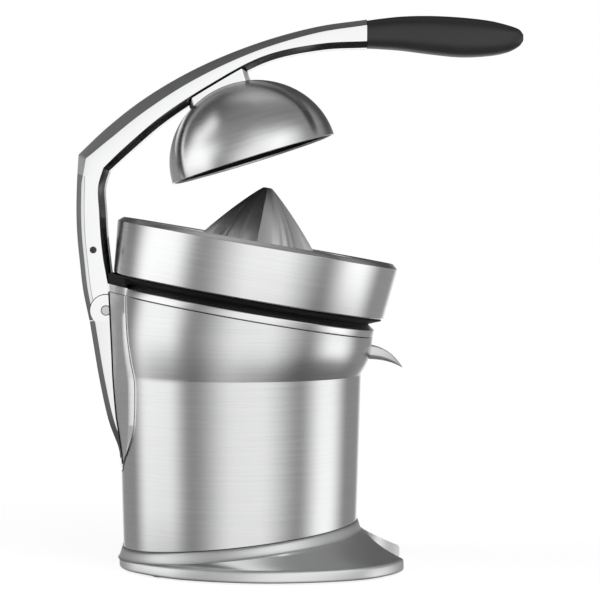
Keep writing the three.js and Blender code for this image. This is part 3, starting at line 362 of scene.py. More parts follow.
def between(low, high, share, lift):
    ring = low + (high - low) * share
    ring[:, 2] = low[:, 2] + (high[:, 2] - low[:, 2]) * lift
    return ring


lip_edge = foot_ring(2.2, LIP_HEIGHT + 1.5)
collar_foot = seat_ring(BARREL_R_LOW + 3.4, 8.2)
flank = [between(lip_edge, collar_foot, s, 0.86 * s + 0.14 * s ** 3)
         for s in np.linspace(0.06, 0.93, FLANK_STEPS)]
lip = [foot_ring(inset, start + lift) for start, steps in (
    (FOOT_HEIGHT, ((2.0, 0), (0.7, 0.3), (0.15, 1.1), (0, 2.2))),
    (LIP_HEIGHT, ((0.1, -1.2), (0.35, 0), (0.9, 0.8), (1.5, 1.25)))) for inset, lift in steps]
collar = [seat_ring(BARREL_R_LOW + out, drop) for out, drop in (
    (4.2, 8.6), (3.5, 8.0), (2.9, 6.9), (2.2, 4.6), (1.4, 2.0), (0.9, 0.8), (0.3, 0.2), (-1, 0))]
foot = lofted("foot_casting", [*lip, lip_edge, *flank, *collar])
cut(foot, cylinder("bay", NOTCH_R, TOOL_LOW, TOOL_HIGH, (NOTCH_X, 0), 160),
    cylinder("hollow", 1, TOOL_LOW, POCKET[2], stretch=POCKET[:2], count=120),
    cylinder("wires", WIRE_HOLE_R, 0, TOOL_HIGH))
smoothed(foot, 40, bevel=0.5, bevel_angle=50)
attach(foot, "housing")
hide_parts("base_casting")


# Satin finish of the castings: bead-blasted aluminium, a very fine even grain, a little duller where
# hands and cloths have rubbed it. The same grain and rubbing are used on the other cast parts.
SOCKET_KINDS = {int: "NodeSocketInt", float: "NodeSocketFloat", tuple: "NodeSocketVector"}
NOISE_LOW, NOISE_HIGH = 0.3, 0.7                  # the range that a noise seldom leaves


def node_group(name, inputs, outputs, kind="Shader"):
    """A group from its inputs' defaults and its outputs' names, and the sockets of its two end nodes."""
    tree = bpy.data.node_groups.new(name, kind + "NodeTree")
    passed = "NodeSocketFloat"
    if kind == "Geometry":
        passed = "NodeSocketGeometry"
        tree.interface.new_socket("Geometry", in_out="INPUT", socket_type=passed)
    for label, value in inputs.items():
        socket = tree.interface.new_socket(label, in_out="INPUT", socket_type=SOCKET_KINDS[type(value)])
        socket.default_value = value
    for label in outputs:
        tree.interface.new_socket(label, in_out="OUTPUT", socket_type=passed)
    return tree, node(tree, "NodeGroupInput").outputs, node(tree, "NodeGroupOutput").inputs


def noise(tree, vector, scale, detail=2.0, roughness=0.5):
    return node(tree, "ShaderNodeTexNoise", {"Vector": vector, "Scale": scale, "Detail": detail,
                                             "Roughness": roughness}).outputs["Fac"]


RIPPLES, RUBS = 45.0, 14.0                        # to a metre
grain, given, gives = node_group(
    "cast_grain", {"Vector": (0, 0, 0), "Grain size": 0.0006}, ["Height", "Rubbed"])
speckle = noise(grain, given["Vector"], reckon(grain, "DIVIDE", 1.0, given["Grain size"]), 3.0, 0.6)
ripple = noise(grain, given["Vector"], RIPPLES)
rub = noise(grain, given["Vector"], RUBS, 4.0, 0.62)
grain.links.new(reckon(grain, "MULTIPLY_ADD", ripple, 1.6, speckle), gives["Height"])
grain.links.new(rub, gives["Rubbed"])


def finish_of(name, colour, roughness, metallic=1.0, **constants):
    """A material with its plain values, ready for its texture."""
    material = bpy.data.materials.new(name)
    material.use_nodes = True
    material.diffuse_color = (*colour, 1)
    shader = material.node_tree.nodes["Principled BSDF"]
    shader.inputs["Base Color"].default_value = (*colour, 1)
    shader.inputs["Roughness"].default_value = roughness
    shader.inputs["Metallic"].default_value = metallic
    for key, value in constants.items():
        shader.inputs[key.replace("_", " ")].default_value = value
    return material, material.node_tree, shader


def group_in(tree, group, **values):
    """A group placed in a material. Its values are set by name, with spaces as underscores."""
    inputs = {key.replace("_", " "): value for key, value in values.items()}
    return node(tree, "ShaderNodeGroup", inputs, node_tree=group).outputs


def on_object(tree, at=(0, 0, 0), turned=(0, 0, 0)):
    """Object coordinates measured from a point, along turned axes, in metres."""
    place = node(tree, "ShaderNodeTexCoord").outputs["Object"]
    return node(tree, "ShaderNodeMapping", {"Vector": place, "Location": at, "Rotation": turned},
                vector_type="TEXTURE").outputs[0]


def bumped(tree, shader, height, depth):
    raised = node(tree, "ShaderNodeBump", {"Height": height, "Distance": depth})
    tree.links.new(raised.outputs[0], shader.inputs["Normal"])


def toned(colour, share, more=0.0):
    """A colour made darker or lighter."""
    return (*(part * share + more for part in colour), 1)


def worn(tree, shader, pattern, smoother, rougher, darker, lighter):
    """Roughness and colour that each run between two ends with a pattern."""
    spread = node(tree, "ShaderNodeMapRange", {
        0: pattern, 1: NOISE_LOW, 2: NOISE_HIGH, 3: smoother, 4: rougher})
    tree.links.new(spread.outputs[0], shader.inputs["Roughness"])
    share = node(tree, "ShaderNodeMapRange", {0: pattern, 1: NOISE_LOW, 2: NOISE_HIGH}).outputs[0]
    mixed = node(tree, "ShaderNodeMix", {0: share, 6: darker, 7: lighter}, data_type="RGBA")
    tree.links.new(mixed.outputs[2], shader.inputs["Base Color"])


def cast_finish(name, colour, roughness, grain_size, depth, metallic=1.0, less=0.035, more=0.045,
                darker=0.97, lighter=1.02, lift=0.0, **constants):
    """Cast metal: an even grain in height, and rubbed patches in roughness and colour."""
    material, tree, shader = finish_of(name, colour, roughness, metallic, **constants)
    marks = group_in(tree, grain, Vector=on_object(tree), Grain_size=grain_size)
    bumped(tree, shader, marks["Height"], depth)
    worn(tree, shader, marks["Rubbed"], roughness - less, roughness + more,
         toned(colour, darker), toned(colour, lighter, lift))
    return material


def dressed(piece, material):
    """The piece, or a CAD node, in one material."""
    piece.data.materials.clear()
    piece.data.materials.append(material)
    for face in piece.data.polygons:
        face.material_index = 0
    return piece


satin_cast = cast_finish("satin_cast", (0.84, 0.845, 0.85), 0.42, 0.0007, 0.00003)
dressed(foot, satin_cast)

# ------------------------------
# Underside: a moulded plate closes the hollow of the casting, four rubber pads carry the press, and a
# rubber sleeve takes the cord. Four hexagon-socket screws hold the plate.
plastic_finish = partial(
    cast_finish, metallic=0.0, less=0.05, more=0.06, darker=1.0, lighter=1.25, lift=0.002)
satin_black = plastic_finish("satin_black_moulding", (0.018, 0.018, 0.019), 0.42, 0.0008, 0.00004)
foot_rubber = plastic_finish("foot_rubber", (0.022, 0.022, 0.022), 0.8, 0.0011, 0.00008)
nodes = frame["nodes"]


def cad_dressed(material, *names, bevel=0.4):
    """CAD nodes in a material, with eased edges and smooth round faces."""
    for name in names:
        piece = dressed(nodes[name], material)
        eased(piece, bevel, 40)
        smoothed(piece, 35)


cad_dressed(satin_black, "base_cover")
cad_dressed(foot_rubber, "rubber_foot_1", "rubber_foot_2", "rubber_foot_3", "rubber_foot_4", "cord_gland")
turned_steel = cast_finish("turned_steel", (0.62, 0.62, 0.63), 0.28, 0.0004, 0.00002)


def xyz(tree, *parts):
    """A vector of up to three parts."""
    return node(tree, "ShaderNodeCombineXYZ", dict(enumerate(parts))).outputs[0]


def made_of(tree, kind, inputs=(), **settings):
    """What a geometry node gives."""
    return node(tree, "GeometryNode" + kind, inputs, **settings).outputs[0]


def grown(name, tree, mesh=None, **values):
    """A piece made by a geometry tree. Its inputs are set by identifier before anything is evaluated."""
    piece = shown(name, mesh or bpy.data.meshes.new(name))
    step = piece.modifiers.new("grown", "NODES")
    sockets = {s.name: s.identifier for s in tree.interface.items_tree if s.in_out == "INPUT"}
    for key, value in values.items():
        step[sockets[key.replace("_", " ")]] = value
    step.node_group = tree
    return piece


def grown_plain(piece):
    """The grown result as a plain mesh."""
    bpy.context.view_layer.update()
    return settled(piece)


screws, given, gives = node_group("ring_of_screws", {
    "Count": 4, "Ring long": 0.044, "Ring wide": 0.037, "First": 0.6, "Head radius": 0.0032,
    "Head height": 0.0016, "Socket radius": 0.0015, "Level": 0.0, "Centre": 0.0}, ["Geometry"], "Geometry")
across = made_of(screws, "MeshCircle", {"Vertices": given["Count"], "Radius": 1.0})
spun = made_of(screws, "Transform", {"Geometry": across, "Rotation": xyz(screws, 0, 0, given["First"])})
stretched = made_of(screws, "Transform", {
    "Geometry": spun, "Scale": xyz(screws, given["Ring long"], given["Ring wide"], 1.0),
    "Translation": xyz(screws, given["Centre"], 0, given["Level"])})
head = made_of(screws, "MeshCone", {
    "Vertices": 32, "Radius Top": given["Head radius"], "Depth": given["Head height"],
    "Radius Bottom": reckon(screws, "MULTIPLY", given["Head radius"], 0.8)})
socket_tool = made_of(screws, "MeshCylinder", {
    "Vertices": 6, "Radius": given["Socket radius"], "Depth": given["Head height"]})
socketed = made_of(screws, "MeshBoolean", {"Mesh 1": head, "Mesh 2": [socket_tool]},
                   operation="DIFFERENCE", solver="MANIFOLD")
set_out = made_of(screws, "InstanceOnPoints", {"Points": stretched, "Instance": socketed})
real = made_of(screws, "RealizeInstances", {"Geometry": set_out})
screws.links.new(made_of(screws, "SetMaterial", {"Geometry": real, "Material": turned_steel}), gives[0])
cover_screws = grown_plain(grown("base_cover_screws", screws, Level=0.0021, Centre=BARREL_X))
smoothed(cover_screws, 30)
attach(cover_screws, "housing")

# ------------------------------
# Brushed steel: lines run round the part, coarse ones over fine ones, and the sheen is drawn out
# across them. One group draws the lines about an upright or leaning axis.
brushing, given, gives = node_group(
    "turned_brushing", {"Vector": (0, 0, 0), "Line width": 0.0009}, ["Height", "Lines", "Patches"])
LINES_OUT = 0.83                                  # how far outwards counts for, beside upwards
parts = node(brushing, "ShaderNodeSeparateXYZ", {0: given["Vector"]}).outputs
flat = xyz(brushing, parts[0], parts[1])
out_by = node(brushing, "ShaderNodeVectorMath", {0: flat}, operation="LENGTH").outputs["Value"]
round_at = node(brushing, "ShaderNodeVectorMath", {0: flat}, operation="NORMALIZE").outputs[0]
round_parts = node(brushing, "ShaderNodeSeparateXYZ", {0: round_at}).outputs
along = reckon(brushing, "MULTIPLY_ADD", out_by, LINES_OUT, parts[2])
across_lines = reckon(brushing, "DIVIDE", along, given["Line width"])


def line_noise(spread, width, detail):
    place = xyz(brushing, *(reckon(brushing, "MULTIPLY", part, share) for part, share in (
        (round_parts[0], spread), (round_parts[1], spread), (across_lines, width))))
    return noise(brushing, place, 1.0, detail, 0.6)


coarse = line_noise(1.2, 0.5, 2.0)
fine = line_noise(2.6, 2.2, 3.0)
brushing.links.new(reckon(brushing, "MULTIPLY_ADD", fine, 0.55, coarse), gives["Height"])
brushing.links.new(reckon(brushing, "MULTIPLY_ADD", fine, 0.5, reckon(brushing, "MULTIPLY", coarse, 0.5)),
                   gives["Lines"])
brushing.links.new(noise(brushing, given["Vector"], 16.0, 3.0), gives["Patches"])
DRAWN_OUT, DRAWN_TURN, LINE_WIDTH = 0.8, 0.25, 0.0009


def brushed_finish(name, colour, roughness, at=(0, 0, 0), turned=(0, 0, 0), depth=0.000007):
    """Brushed metal whose lines run round an axis through a point."""
    material, tree, shader = finish_of(name, colour, roughness, Anisotropic=DRAWN_OUT,
                                       Anisotropic_Rotation=DRAWN_TURN)
    lines = group_in(tree, brushing, Vector=on_object(tree, at, turned), Line_width=LINE_WIDTH)
    bumped(tree, shader, lines["Height"], depth)
    worn(tree, shader, lines["Lines"], roughness - 0.02, roughness + 0.02,
         toned(colour, 0.94), toned(colour, 1.06))
    way = node(tree, "ShaderNodeTangent", direction_type="UV_MAP", uv_map="round_and_along")
    tree.links.new(way.outputs[0], shader.inputs["Tangent"])
    return material


upright_axis = (BARREL_X, 0, 0)

# ------------------------------
# Rear spine: a pressing with two wings that blend off the barrel, and a channel between them for the
# arm's link. It is cut to the leaning seam at the top and runs out on the barrel near the foot. Each wing
# is tucked in along its front edge, and the narrow bevel behind it is painted black: painted shade
# standing for the channel's shadow.
BARREL_FOOT, KINK_HEIGHT, BARREL_R_KINK, FLARE_BULGE = 17.5, 154, 96.7, 2.6
SPINE_LEVELS = [          # height, rear face, its half width, ridge along the wing, line on the barrel
    (80, -93.3, 19, -92.5, -92.2), (88, -93.9, 19.6, -91.2, -90.4), (98, -95, 20, -88, -86.2),
    (110, -96.6, 20.2, -86.8, -82.6), (124, -98.6, 20.4, -86.4, -81), (150, -100.7, 20.5, -86.4, -80.8),
    (168, -101.5, 20.5, -88.8, -84), (190, -102.5, 20.5, -90.8, -86.8), (218, -103.8, 20.5, -92, -88.4),
    (240, -104.8, 20.5, -92.6, -89)]
WING_PROUD, RIDGE_PROUD = 0.4, 1.2
WING_BEVEL, WING_TUCK = 1.4, 3.2
BEVEL_FROM, BEVEL_TO = -0.0019, 0.0003            # the rear bevel, beside the rear face's edge, in metres
SPINE_FRONT, SPINE_STEPS = -72, 90
BEARING_REAR, BEARING_HALF, BEARING_TOP = -88.6, 19, 81.3
LUG_R, LUG_HALF = 6.2, 2.5
PIN_BORE, SMALL_BORE = 3.65, 2.65
CHANNEL_FRONT, CHANNEL_FLOOR, CHANNEL_HALF = -78, 77, 15.6
PIN_G1, PIN_G2 = (-89, 85), (-93, 206)            # lower pins of the rear link and the inner link
SEAM_REAR, SEAM_REAR_R = 218, 98.5


def cross_bar(name, at, r, y0, y1, count=64):
    """A round tool across the press, along Y, centred on an XZ point."""
    turns = around(count)
    return lofted(name, [np.stack([at[0] + r * np.cos(turns), np.full(count, float(y)),
                                   at[1] + r * np.sin(turns)], -1) for y in (y0, y1)])


def bar_through(name, at, r, half, count=64):
    """A round tool that reaches as far on both sides."""
    return cross_bar(name, at, r, -half, half, count)


def box_tool(name, x0, x1, y0, y1, z0, z1, lean=None):
    """A plain rectangular tool."""
    rings = [[(x0, y0, z), (x1, y0, z), (x1, y1, z), (x0, y1, z)] for z in (z0, z1)]
    return lofted(name, lean(rings) if lean else rings)


def leaned(points, lean=LEAN, x=SEAM_X, z=SEAM_Z):
    """Millimetres on a leaning axis to millimetres from the barrel axis."""
    p = np.array(points, float)
    c, s = math.cos(lean), math.sin(lean)
    return np.stack([x + p[..., 0] * c + p[..., 2] * s, p[..., 1], z - p[..., 0] * s + p[..., 2] * c], -1)


def slab(low, high):
    """A wide tool between two levels of the leaning axis."""
    return box_tool("slab", -200, 200, -200, 200, low, high, leaned)


def mirrored(side):
    """An outline from its half on one side."""
    return [*side, *((x, -y) for x, y in side[::-1])]


def rear_radius(z):
    if z <= KINK_HEIGHT:
        share = (z - BARREL_FOOT) / (KINK_HEIGHT - BARREL_FOOT)
        return BARREL_R_LOW + (BARREL_R_KINK - BARREL_R_LOW) * share
    share = min(1, (z - KINK_HEIGHT) / (SEAM_REAR - KINK_HEIGHT))
    return BARREL_R_KINK + (SEAM_REAR_R - BARREL_R_KINK) * share + FLARE_BULGE * math.sin(math.pi * share)


def softened(outline, radii, steps=4):
    """A closed flat outline with each corner rounded to its radius."""
    p = np.array(outline, float)
    radii = [radii] * len(p) if np.isscalar(radii) else radii
    out = []
    for i, corner in enumerate(p):
        back, on = p[i - 1] - corner, p[(i + 1) % len(p)] - corner
        back_len, on_len = np.linalg.norm(back), np.linalg.norm(on)
        back, on = back / back_len, on / on_len
        half = math.acos(np.clip(back @ on, -1, 1)) / 2
        if radii[i] <= 0 or half > math.pi / 2 - 0.02:
            out += [corner] * (steps + 1)
            continue
        run = min(radii[i] / math.tan(half), back_len * 0.48, on_len * 0.48)
        r = run * math.tan(half)
        middle = corner + (back + on) / np.linalg.norm(back + on) * r / math.sin(half)
        a, b = corner + back * run - middle, corner + on * run - middle
        sweep = math.acos(np.clip(a @ b / (r * r), -1, 1))
        for k in range(steps + 1):
            t = k / steps
            out.append(middle + (a * math.sin((1 - t) * sweep) + b * math.sin(t * sweep)) / math.sin(sweep))
    return np.array(out)


def spine_shape(name, grow=0.0):
    """The wings and what lies between them, or with some growth the room for them."""
    low = SPINE_LEVELS[0][0]
    rows = spline(SPINE_LEVELS, np.linspace(0, 1, SPINE_STEPS), centripetal=False)
    rings = []
    for z, rear, half, ridge, front in rows:
        def wide(x, proud):
            return math.sqrt(max((rear_radius(z) + proud) ** 2 - x * x, 1)) + grow
        ease = min(1, (z - low) / 8)
        edge = wide(front, WING_PROUD)
        tucked = edge - (0 if grow else WING_TUCK)
        side = [(SPINE_FRONT + grow, tucked), (front + 0.2, tucked), (front, edge),
                (ridge - grow, wide(ridge, WING_PROUD + (RIDGE_PROUD - WING_PROUD) * ease)),
                (rear + WING_BEVEL - grow, half + grow), (rear - grow, half - WING_BEVEL + grow)]
        outline = mirrored(side)
        soft = [0, 0, 0.5, 2.5, 0.35, 0.35]
        ring = softened(outline, soft + soft[::-1], 3)
        rings.append(np.column_stack([ring, np.full(len(ring), z if z > low else z - grow)]))
    return lofted(name, rings)


def channel_tool(grow=0.0):
    half = CHANNEL_HALF + grow
    return box_tool("channel", -140, CHANNEL_FRONT, -half, half, CHANNEL_FLOOR, 260)


spine = spine_shape("spine")
joined(spine, box_tool(
    "bearing", BEARING_REAR, SPINE_FRONT, -BEARING_HALF, BEARING_HALF, CHANNEL_FLOOR - 4, BEARING_TOP))
cut(spine, channel_tool(), slab(-0.25, 200))
lug = bar_through("lug", PIN_G2, LUG_R, LUG_HALF)
joined(lug, lofted("web", [[(x, y, z) for x, z in (
    (PIN_G2[0], PIN_G2[1] - LUG_R), (CHANNEL_FRONT + 2, PIN_G2[1] - 22), (CHANNEL_FRONT + 2, PIN_G2[1] + 4),
    (PIN_G2[0], PIN_G2[1] + LUG_R))] for y in (-LUG_HALF, LUG_HALF)]))
joined(spine, lug)
cut(spine, bar_through("lower_bore", PIN_G1, PIN_BORE, BEARING_HALF),
    bar_through("upper_bore", PIN_G2, SMALL_BORE, 9))
# Black finish of the mouldings and the inner link, also used as painted shade on the wings' rear bevels and
# the deck's lip.
deck_black = plastic_finish("deck_black", (0.005, 0.005, 0.005), 0.5, 0.0008, 0.00002,
                            Specular_IOR_Level=0.12)
brushed_spine = brushed_finish("brushed_spine", (0.9, 0.902, 0.906), 0.36, upright_axis)
dressed(smoothed(spine, 24), brushed_spine)
# The narrow rear bevel of each wing takes the black: painted shade for the channel's shadow beside it.
spine.data.materials.append(deck_black)
rear_half = SPINE_LEVELS[-1][2] / 1000
for face in spine.data.polygons:
    beside = abs(face.center.y) - rear_half
    if face.normal.x < -0.2 and 0.2 < abs(face.normal.y) and BEVEL_FROM < beside < BEVEL_TO:
        face.material_index = 1
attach(spine, "housing")
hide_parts("spine_housing")
cad_dressed(turned_steel, "link_lower_pin", "inner_link_pin", bevel=0.3)

# ------------------------------
# Barrel: rolled and brushed steel, slightly tapered up to a crisp kink, then spun out to the leaning
# seam. The wings of the spine and the spout come through it.
SEAM_R = 103.5
ROUND_STEPS = 288
SHELL, SPINE_ROOM = 1.6, 1.8
STEEL = (0.76, 0.762, 0.768)
SPOUT_ROOM = (80, 120, -12.2, 12.2, 165, 182.8)   # the opening at the front, as a box
turns = around(ROUND_STEPS)
outwards = np.stack([np.cos(turns), np.sin(turns), np.zeros(ROUND_STEPS)], -1)


def barrel_foot(inset, lift):
    ring = outwards * (BARREL_R_LOW - inset)
    ring[:, 2] = SEAT_HEIGHT + SEAT_SLOPE * ring[:, 0] + lift
    return ring


def barrel_straight(share, inset):
    low = barrel_foot(inset, 0.3)
    high = outwards * (BARREL_R_KINK - inset) + (0, 0, KINK_HEIGHT)
    return low + (high - low) * share


def barrel_flare(share, inset, drop=0.0):
    low = outwards * (BARREL_R_KINK - inset) + (0, 0, KINK_HEIGHT)
    high = leaned(outwards * (SEAM_R - inset) + (0, 0, -drop))
    return low + (high - low) * share + outwards * FLARE_BULGE * math.sin(math.pi * share)


barrel = lofted("barrel", [
    barrel_foot(0.5, 0.4), barrel_foot(0.1, 0.6),
    *(barrel_straight(s, 0) for s in (0.01, 0.25, 0.5, 0.75, 0.985)),
    *(barrel_flare(s, 0, 0.35) for s in np.linspace(0, 0.995, 30)),
    barrel_flare(1, 0.35, 0.25), barrel_flare(1, 1.2, 0.25),
    *(barrel_flare(s, SHELL, 0.3) for s in np.linspace(1, 0, 12)),
    barrel_foot(SHELL, 0.6), barrel_foot(SHELL - 0.4, 0.4)], loop=True)
cut(barrel, spine_shape("spine_room", SPINE_ROOM), channel_tool(0.3),
    box_tool("spout_room", *SPOUT_ROOM))
dressed(smoothed(barrel, 12), brushed_finish("brushed_barrel", STEEL, 0.24, upright_axis))
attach(barrel, "housing")
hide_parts("barrel_shell")

# ------------------------------
# Trim band: a turned ring over the leaning seam with a sloping top, running out over both wings. It is
# brushed like the bowl and pressed onto the edge of the barrel.
TRIM_EDGE, TRIM_TOP, TRIM_WALL, WING_TOP = 5.6, 9.2, 5, 6
PALE_STEEL = (0.84, 0.842, 0.848)
leaning_axis = tuple(placed((SEAM_X, 0, SEAM_Z)))
brushed_bowl = brushed_finish("brushed_bowl", PALE_STEEL, 0.24, leaning_axis, (0, LEAN, 0))


def revolved(name, profile, radii=0.0, steps=ROUND_STEPS, lean=leaned, corner_steps=4):
    """A closed profile of (radius, height) turned about the leaning axis, its corners rounded."""
    round_at = around(steps)
    rings = [np.stack([r * np.cos(round_at), r * np.sin(round_at), np.full(steps, z)], -1)
             for r, z in softened(profile, radii, corner_steps)]
    return lofted(name, [lean(ring) for ring in rings] if lean else rings, loop=True)


trim = revolved("trim_band", [(SEAM_R - TRIM_WALL, 0.25), (SEAM_R, 0.25), (SEAM_R, TRIM_EDGE),
                              (SEAM_R - TRIM_WALL, TRIM_TOP)], [0, 0.4, 1.1, 0.4])
wings = spine_shape("wings", 0.01)
cut(wings, slab(-200, 0.25), slab(WING_TOP, 200),
    cylinder("inside", SEAM_R - TRIM_WALL, -10, 40, lean=leaned, count=ROUND_STEPS))
joined(trim, wings)
cut(trim, channel_tool())
dressed(smoothed(trim, 24), brushed_bowl)
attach(trim, "housing")
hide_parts("top_trim")

# ------------------------------
# Deck: the black moulded floor under the bowl, with a boss for the drive, posts for the gearbox and a
# shoulder on each side of the arm. Its black lip reaches out under the edge of the bowl and gives the
# dark ring seen there: a black sheet set as painted shade for the gap under the bowl.
DECK_BOTTOM, DECK_TOP, DECK_R = 2, 12, 98.2
SHOULDER_BOTTOM, SHOULDER_TOP, SHOULDER_R = 6.3, 14.5, 97
POST_R, POST_BOTTOM, POSTS = 5, -1.2, ((52, 30), (52, -30), (-20, 64), (-20, -64))
BOWL_BOTTOM, BOWL_R_LOW = 16.6, 109.5
BOSS_R, BOSS_TOP, BUSH_R = 13.25, 24, 9.25
DRAIN_X, DRAIN_R = 84, 9
# The lip out to 107.7 mm under the bowl is black moulding used as painted shade for the gap there.
deck = revolved("deck_moulding", [
    (BUSH_R + 0.1, DECK_BOTTOM), (DECK_R, DECK_BOTTOM), (DECK_R, 9.9), (107.4, 13.65), (107.7, 14.3),
    (107.2, 14.85), (97.6, 10.9), (96.4, 9.9), (94, DECK_TOP), (BOSS_R, DECK_TOP), (BOSS_R, BOSS_TOP),
    (BUSH_R + 0.1, BOSS_TOP)],
    [0, 0.5, 0.6, 0.3, 0.3, 0.3, 0.2, 0.2, 1.5, 1.5, 0.8, 0.4], 192)
shoulders = spine_shape("shoulders", -0.4)
under_bowl = revolved("under_bowl", [
    (1, 12.1), (94.2, 12.1), (96.5, 10.6), (BOWL_R_LOW - 0.3, BOWL_BOTTOM - 0.95),
    (BOWL_R_LOW + 1, BOWL_BOTTOM), (BOWL_R_LOW + 2, 40), (1, 40)])
cut(shoulders, slab(-300, SHOULDER_BOTTOM), slab(SHOULDER_TOP, 200), under_bowl,
    cylinder("trim_room", SEAM_R + 0.1, -10, TRIM_TOP + 0.3, lean=leaned, count=ROUND_STEPS),
    cylinder("inside", SHOULDER_R, -10, 60, lean=leaned, count=ROUND_STEPS), channel_tool(0.3))
smoothed(shoulders, 30, bevel=0.8, segments=3)
joined(deck, shoulders)
for post_at in POSTS:
    joined(deck, cylinder("post", POST_R, POST_BOTTOM, DECK_BOTTOM + 1, post_at, 48, lean=leaned))
cut(deck, cylinder("drain", DRAIN_R, -5, 60, (DRAIN_X, 0), lean=leaned), channel_tool())
dressed(smoothed(deck, 30), deck_black)
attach(deck, "housing")
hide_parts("deck")

# ------------------------------
# Drive, hidden in the barrel: motor, two stages of acetal gears in a cast case, and the steel spindle
# with its hexagonal end in a sintered bush.
acetal = plastic_finish("natural_acetal", (0.80, 0.78, 0.71), 0.45, 0.0009, 0.00002)
sintered = cast_finish("sintered_bronze", (0.62, 0.46, 0.24), 0.42, 0.0005, 0.00003)
oxide = cast_finish("dark_oxide", (0.09, 0.09, 0.095), 0.45, 0.0005, 0.00002)
cad_dressed(satin_cast, "gearbox_case", "gearbox_lid", bevel=0.5)
cad_dressed(acetal, "output_gear", "cluster_gear", bevel=0.1)
cad_dressed(turned_steel, "motor_pinion", bevel=0.1)
cad_dressed(turned_steel, "drive_spindle", "cluster_pin", "motor_can", "motor_rotor", bevel=0.3)
cad_dressed(oxide, "motor_stator", bevel=0.3)
cad_dressed(satin_black, "motor_end_cap", bevel=0.3)
cad_dressed(sintered, "spindle_bush_upper", bevel=0.2)

# ------------------------------
# Juice bowl: spun and brushed steel with a bevelled, rolled rim. It stands on the deck, the drive comes
# up through the tube in its middle, and the juice leaves by a drain at its low side.
BOWL_FLOOR, BOWL_RIM, BOWL_R_RIM, TUBE_R = 16, 60.3, 113.1, 13.75
bowl = revolved("bowl", [
    (TUBE_R, 12.3), (94.4, 12.3), (96.7, 11), (BOWL_R_LOW - 0.2, BOWL_BOTTOM - 0.5),
    (BOWL_R_RIM, BOWL_RIM - 3.6), (BOWL_R_RIM - 4.3, BOWL_RIM), (BOWL_R_RIM - 6, BOWL_RIM - 1),
    (BOWL_R_RIM - 8, BOWL_RIM - 8), (BOWL_R_LOW - 9, BOWL_FLOOR), (TUBE_R + 2, BOWL_FLOOR),
    (TUBE_R + 2, BOSS_TOP + 4), (TUBE_R, BOSS_TOP + 4)],
    [0.4, 0.6, 0.8, 0.9, 0.5, 0.5, 0.6, 3, 6, 2, 0.8, 0.4])
cut(bowl, cylinder("drain", DRAIN_R - 2, 0, 30, (DRAIN_X, 0), lean=leaned))
dressed(smoothed(bowl, 24), brushed_bowl)
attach(bowl, "housing")
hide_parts("juice_bowl")

# ------------------------------
# Strainer: pressed steel tray that sits in the bowl. Slots with round ends are punched in rings
# through its floor.
STRAINER_FLOOR, STRAINER_R = 38, 104.1
SLOT_RINGS = ((36, 0.0625), (48, 0.0765), (60, 0.0900))     # number of slots and radius, in metres
strainer_steel = brushed_finish("strainer_steel", (0.70, 0.70, 0.705), 0.26, leaning_axis, (0, LEAN, 0),
                                depth=0.000008)
tray = revolved("tray", [
    (TUBE_R + 8, STRAINER_FLOOR), (STRAINER_R - 8, STRAINER_FLOOR),
    (STRAINER_R - 1.5, STRAINER_FLOOR + 10), (STRAINER_R + 1.75, BOWL_RIM - 4),
    (STRAINER_R + 0.3, BOWL_RIM - 3.4), (STRAINER_R - 2.9, STRAINER_FLOOR + 10.6),
    (STRAINER_R - 8.8, STRAINER_FLOOR + 1.2), (TUBE_R + 8, STRAINER_FLOOR + 1.2)],
    [0.4, 3, 6, 0.4, 0.4, 5, 2, 0.4], 192)
punched, given, gives = node_group("punched_slots", {
    "Slots": 56, "Middle": 0.060, "Length": 0.012, "Width": 0.0022, "Depth": 0.006, "Level": 0.0386,
    "Lean": 0.0, "Foot X": 0.0, "Foot Z": 0.0}, ["Geometry"], "Geometry")
ring = made_of(punched, "MeshCircle", {"Vertices": given["Slots"], "Radius": given["Middle"]})
bar = made_of(punched, "MeshCube", {"Size": xyz(punched, given["Length"], given["Width"], given["Depth"])})
ends = []
for end in (-0.5, 0.5):
    half_wide = reckon(punched, "MULTIPLY", given["Width"], 0.5)
    knob = made_of(punched, "MeshCylinder", {
        "Vertices": 12, "Radius": half_wide, "Depth": given["Depth"]})
    ends.append(made_of(punched, "Transform", {
        "Geometry": knob, "Rotation": (0, 0, math.radians(15)),
        "Translation": xyz(punched, reckon(punched, "MULTIPLY", given["Length"], end))}))
slot_tool = made_of(punched, "MeshBoolean", {"Mesh 2": [bar, *ends]}, operation="UNION", solver="MANIFOLD")
aligned = node(punched, "FunctionNodeAlignRotationToVector", {
    "Vector": made_of(punched, "InputPosition")}, axis="X").outputs[0]
slots = made_of(punched, "InstanceOnPoints", {"Points": ring, "Instance": slot_tool, "Rotation": aligned})
raised = made_of(punched, "Transform", {
    "Geometry": slots, "Translation": xyz(punched, 0, 0, given["Level"])})
tipped = made_of(punched, "Transform", {
    "Geometry": raised, "Rotation": xyz(punched, 0, given["Lean"]),
    "Translation": xyz(punched, given["Foot X"], 0, given["Foot Z"])})
real = made_of(punched, "RealizeInstances", {"Geometry": tipped})
through = made_of(punched, "MeshBoolean", {"Mesh 1": given["Geometry"], "Mesh 2": [real]},
                  operation="DIFFERENCE", solver="MANIFOLD")
in_steel = made_of(punched, "SetMaterial", {"Geometry": through, "Material": strainer_steel})
punched.links.new(in_steel, gives[0])
strainer = tray
for count, middle in SLOT_RINGS:
    mesh = strainer.data
    bpy.data.objects.remove(strainer)
    strainer = grown_plain(grown("strainer_tray", punched, mesh, Slots=count, Middle=middle, Lean=LEAN,
                                 Foot_X=leaning_axis[0], Foot_Z=leaning_axis[2]))
smoothed(strainer, 24)
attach(strainer, "housing")
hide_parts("strainer")

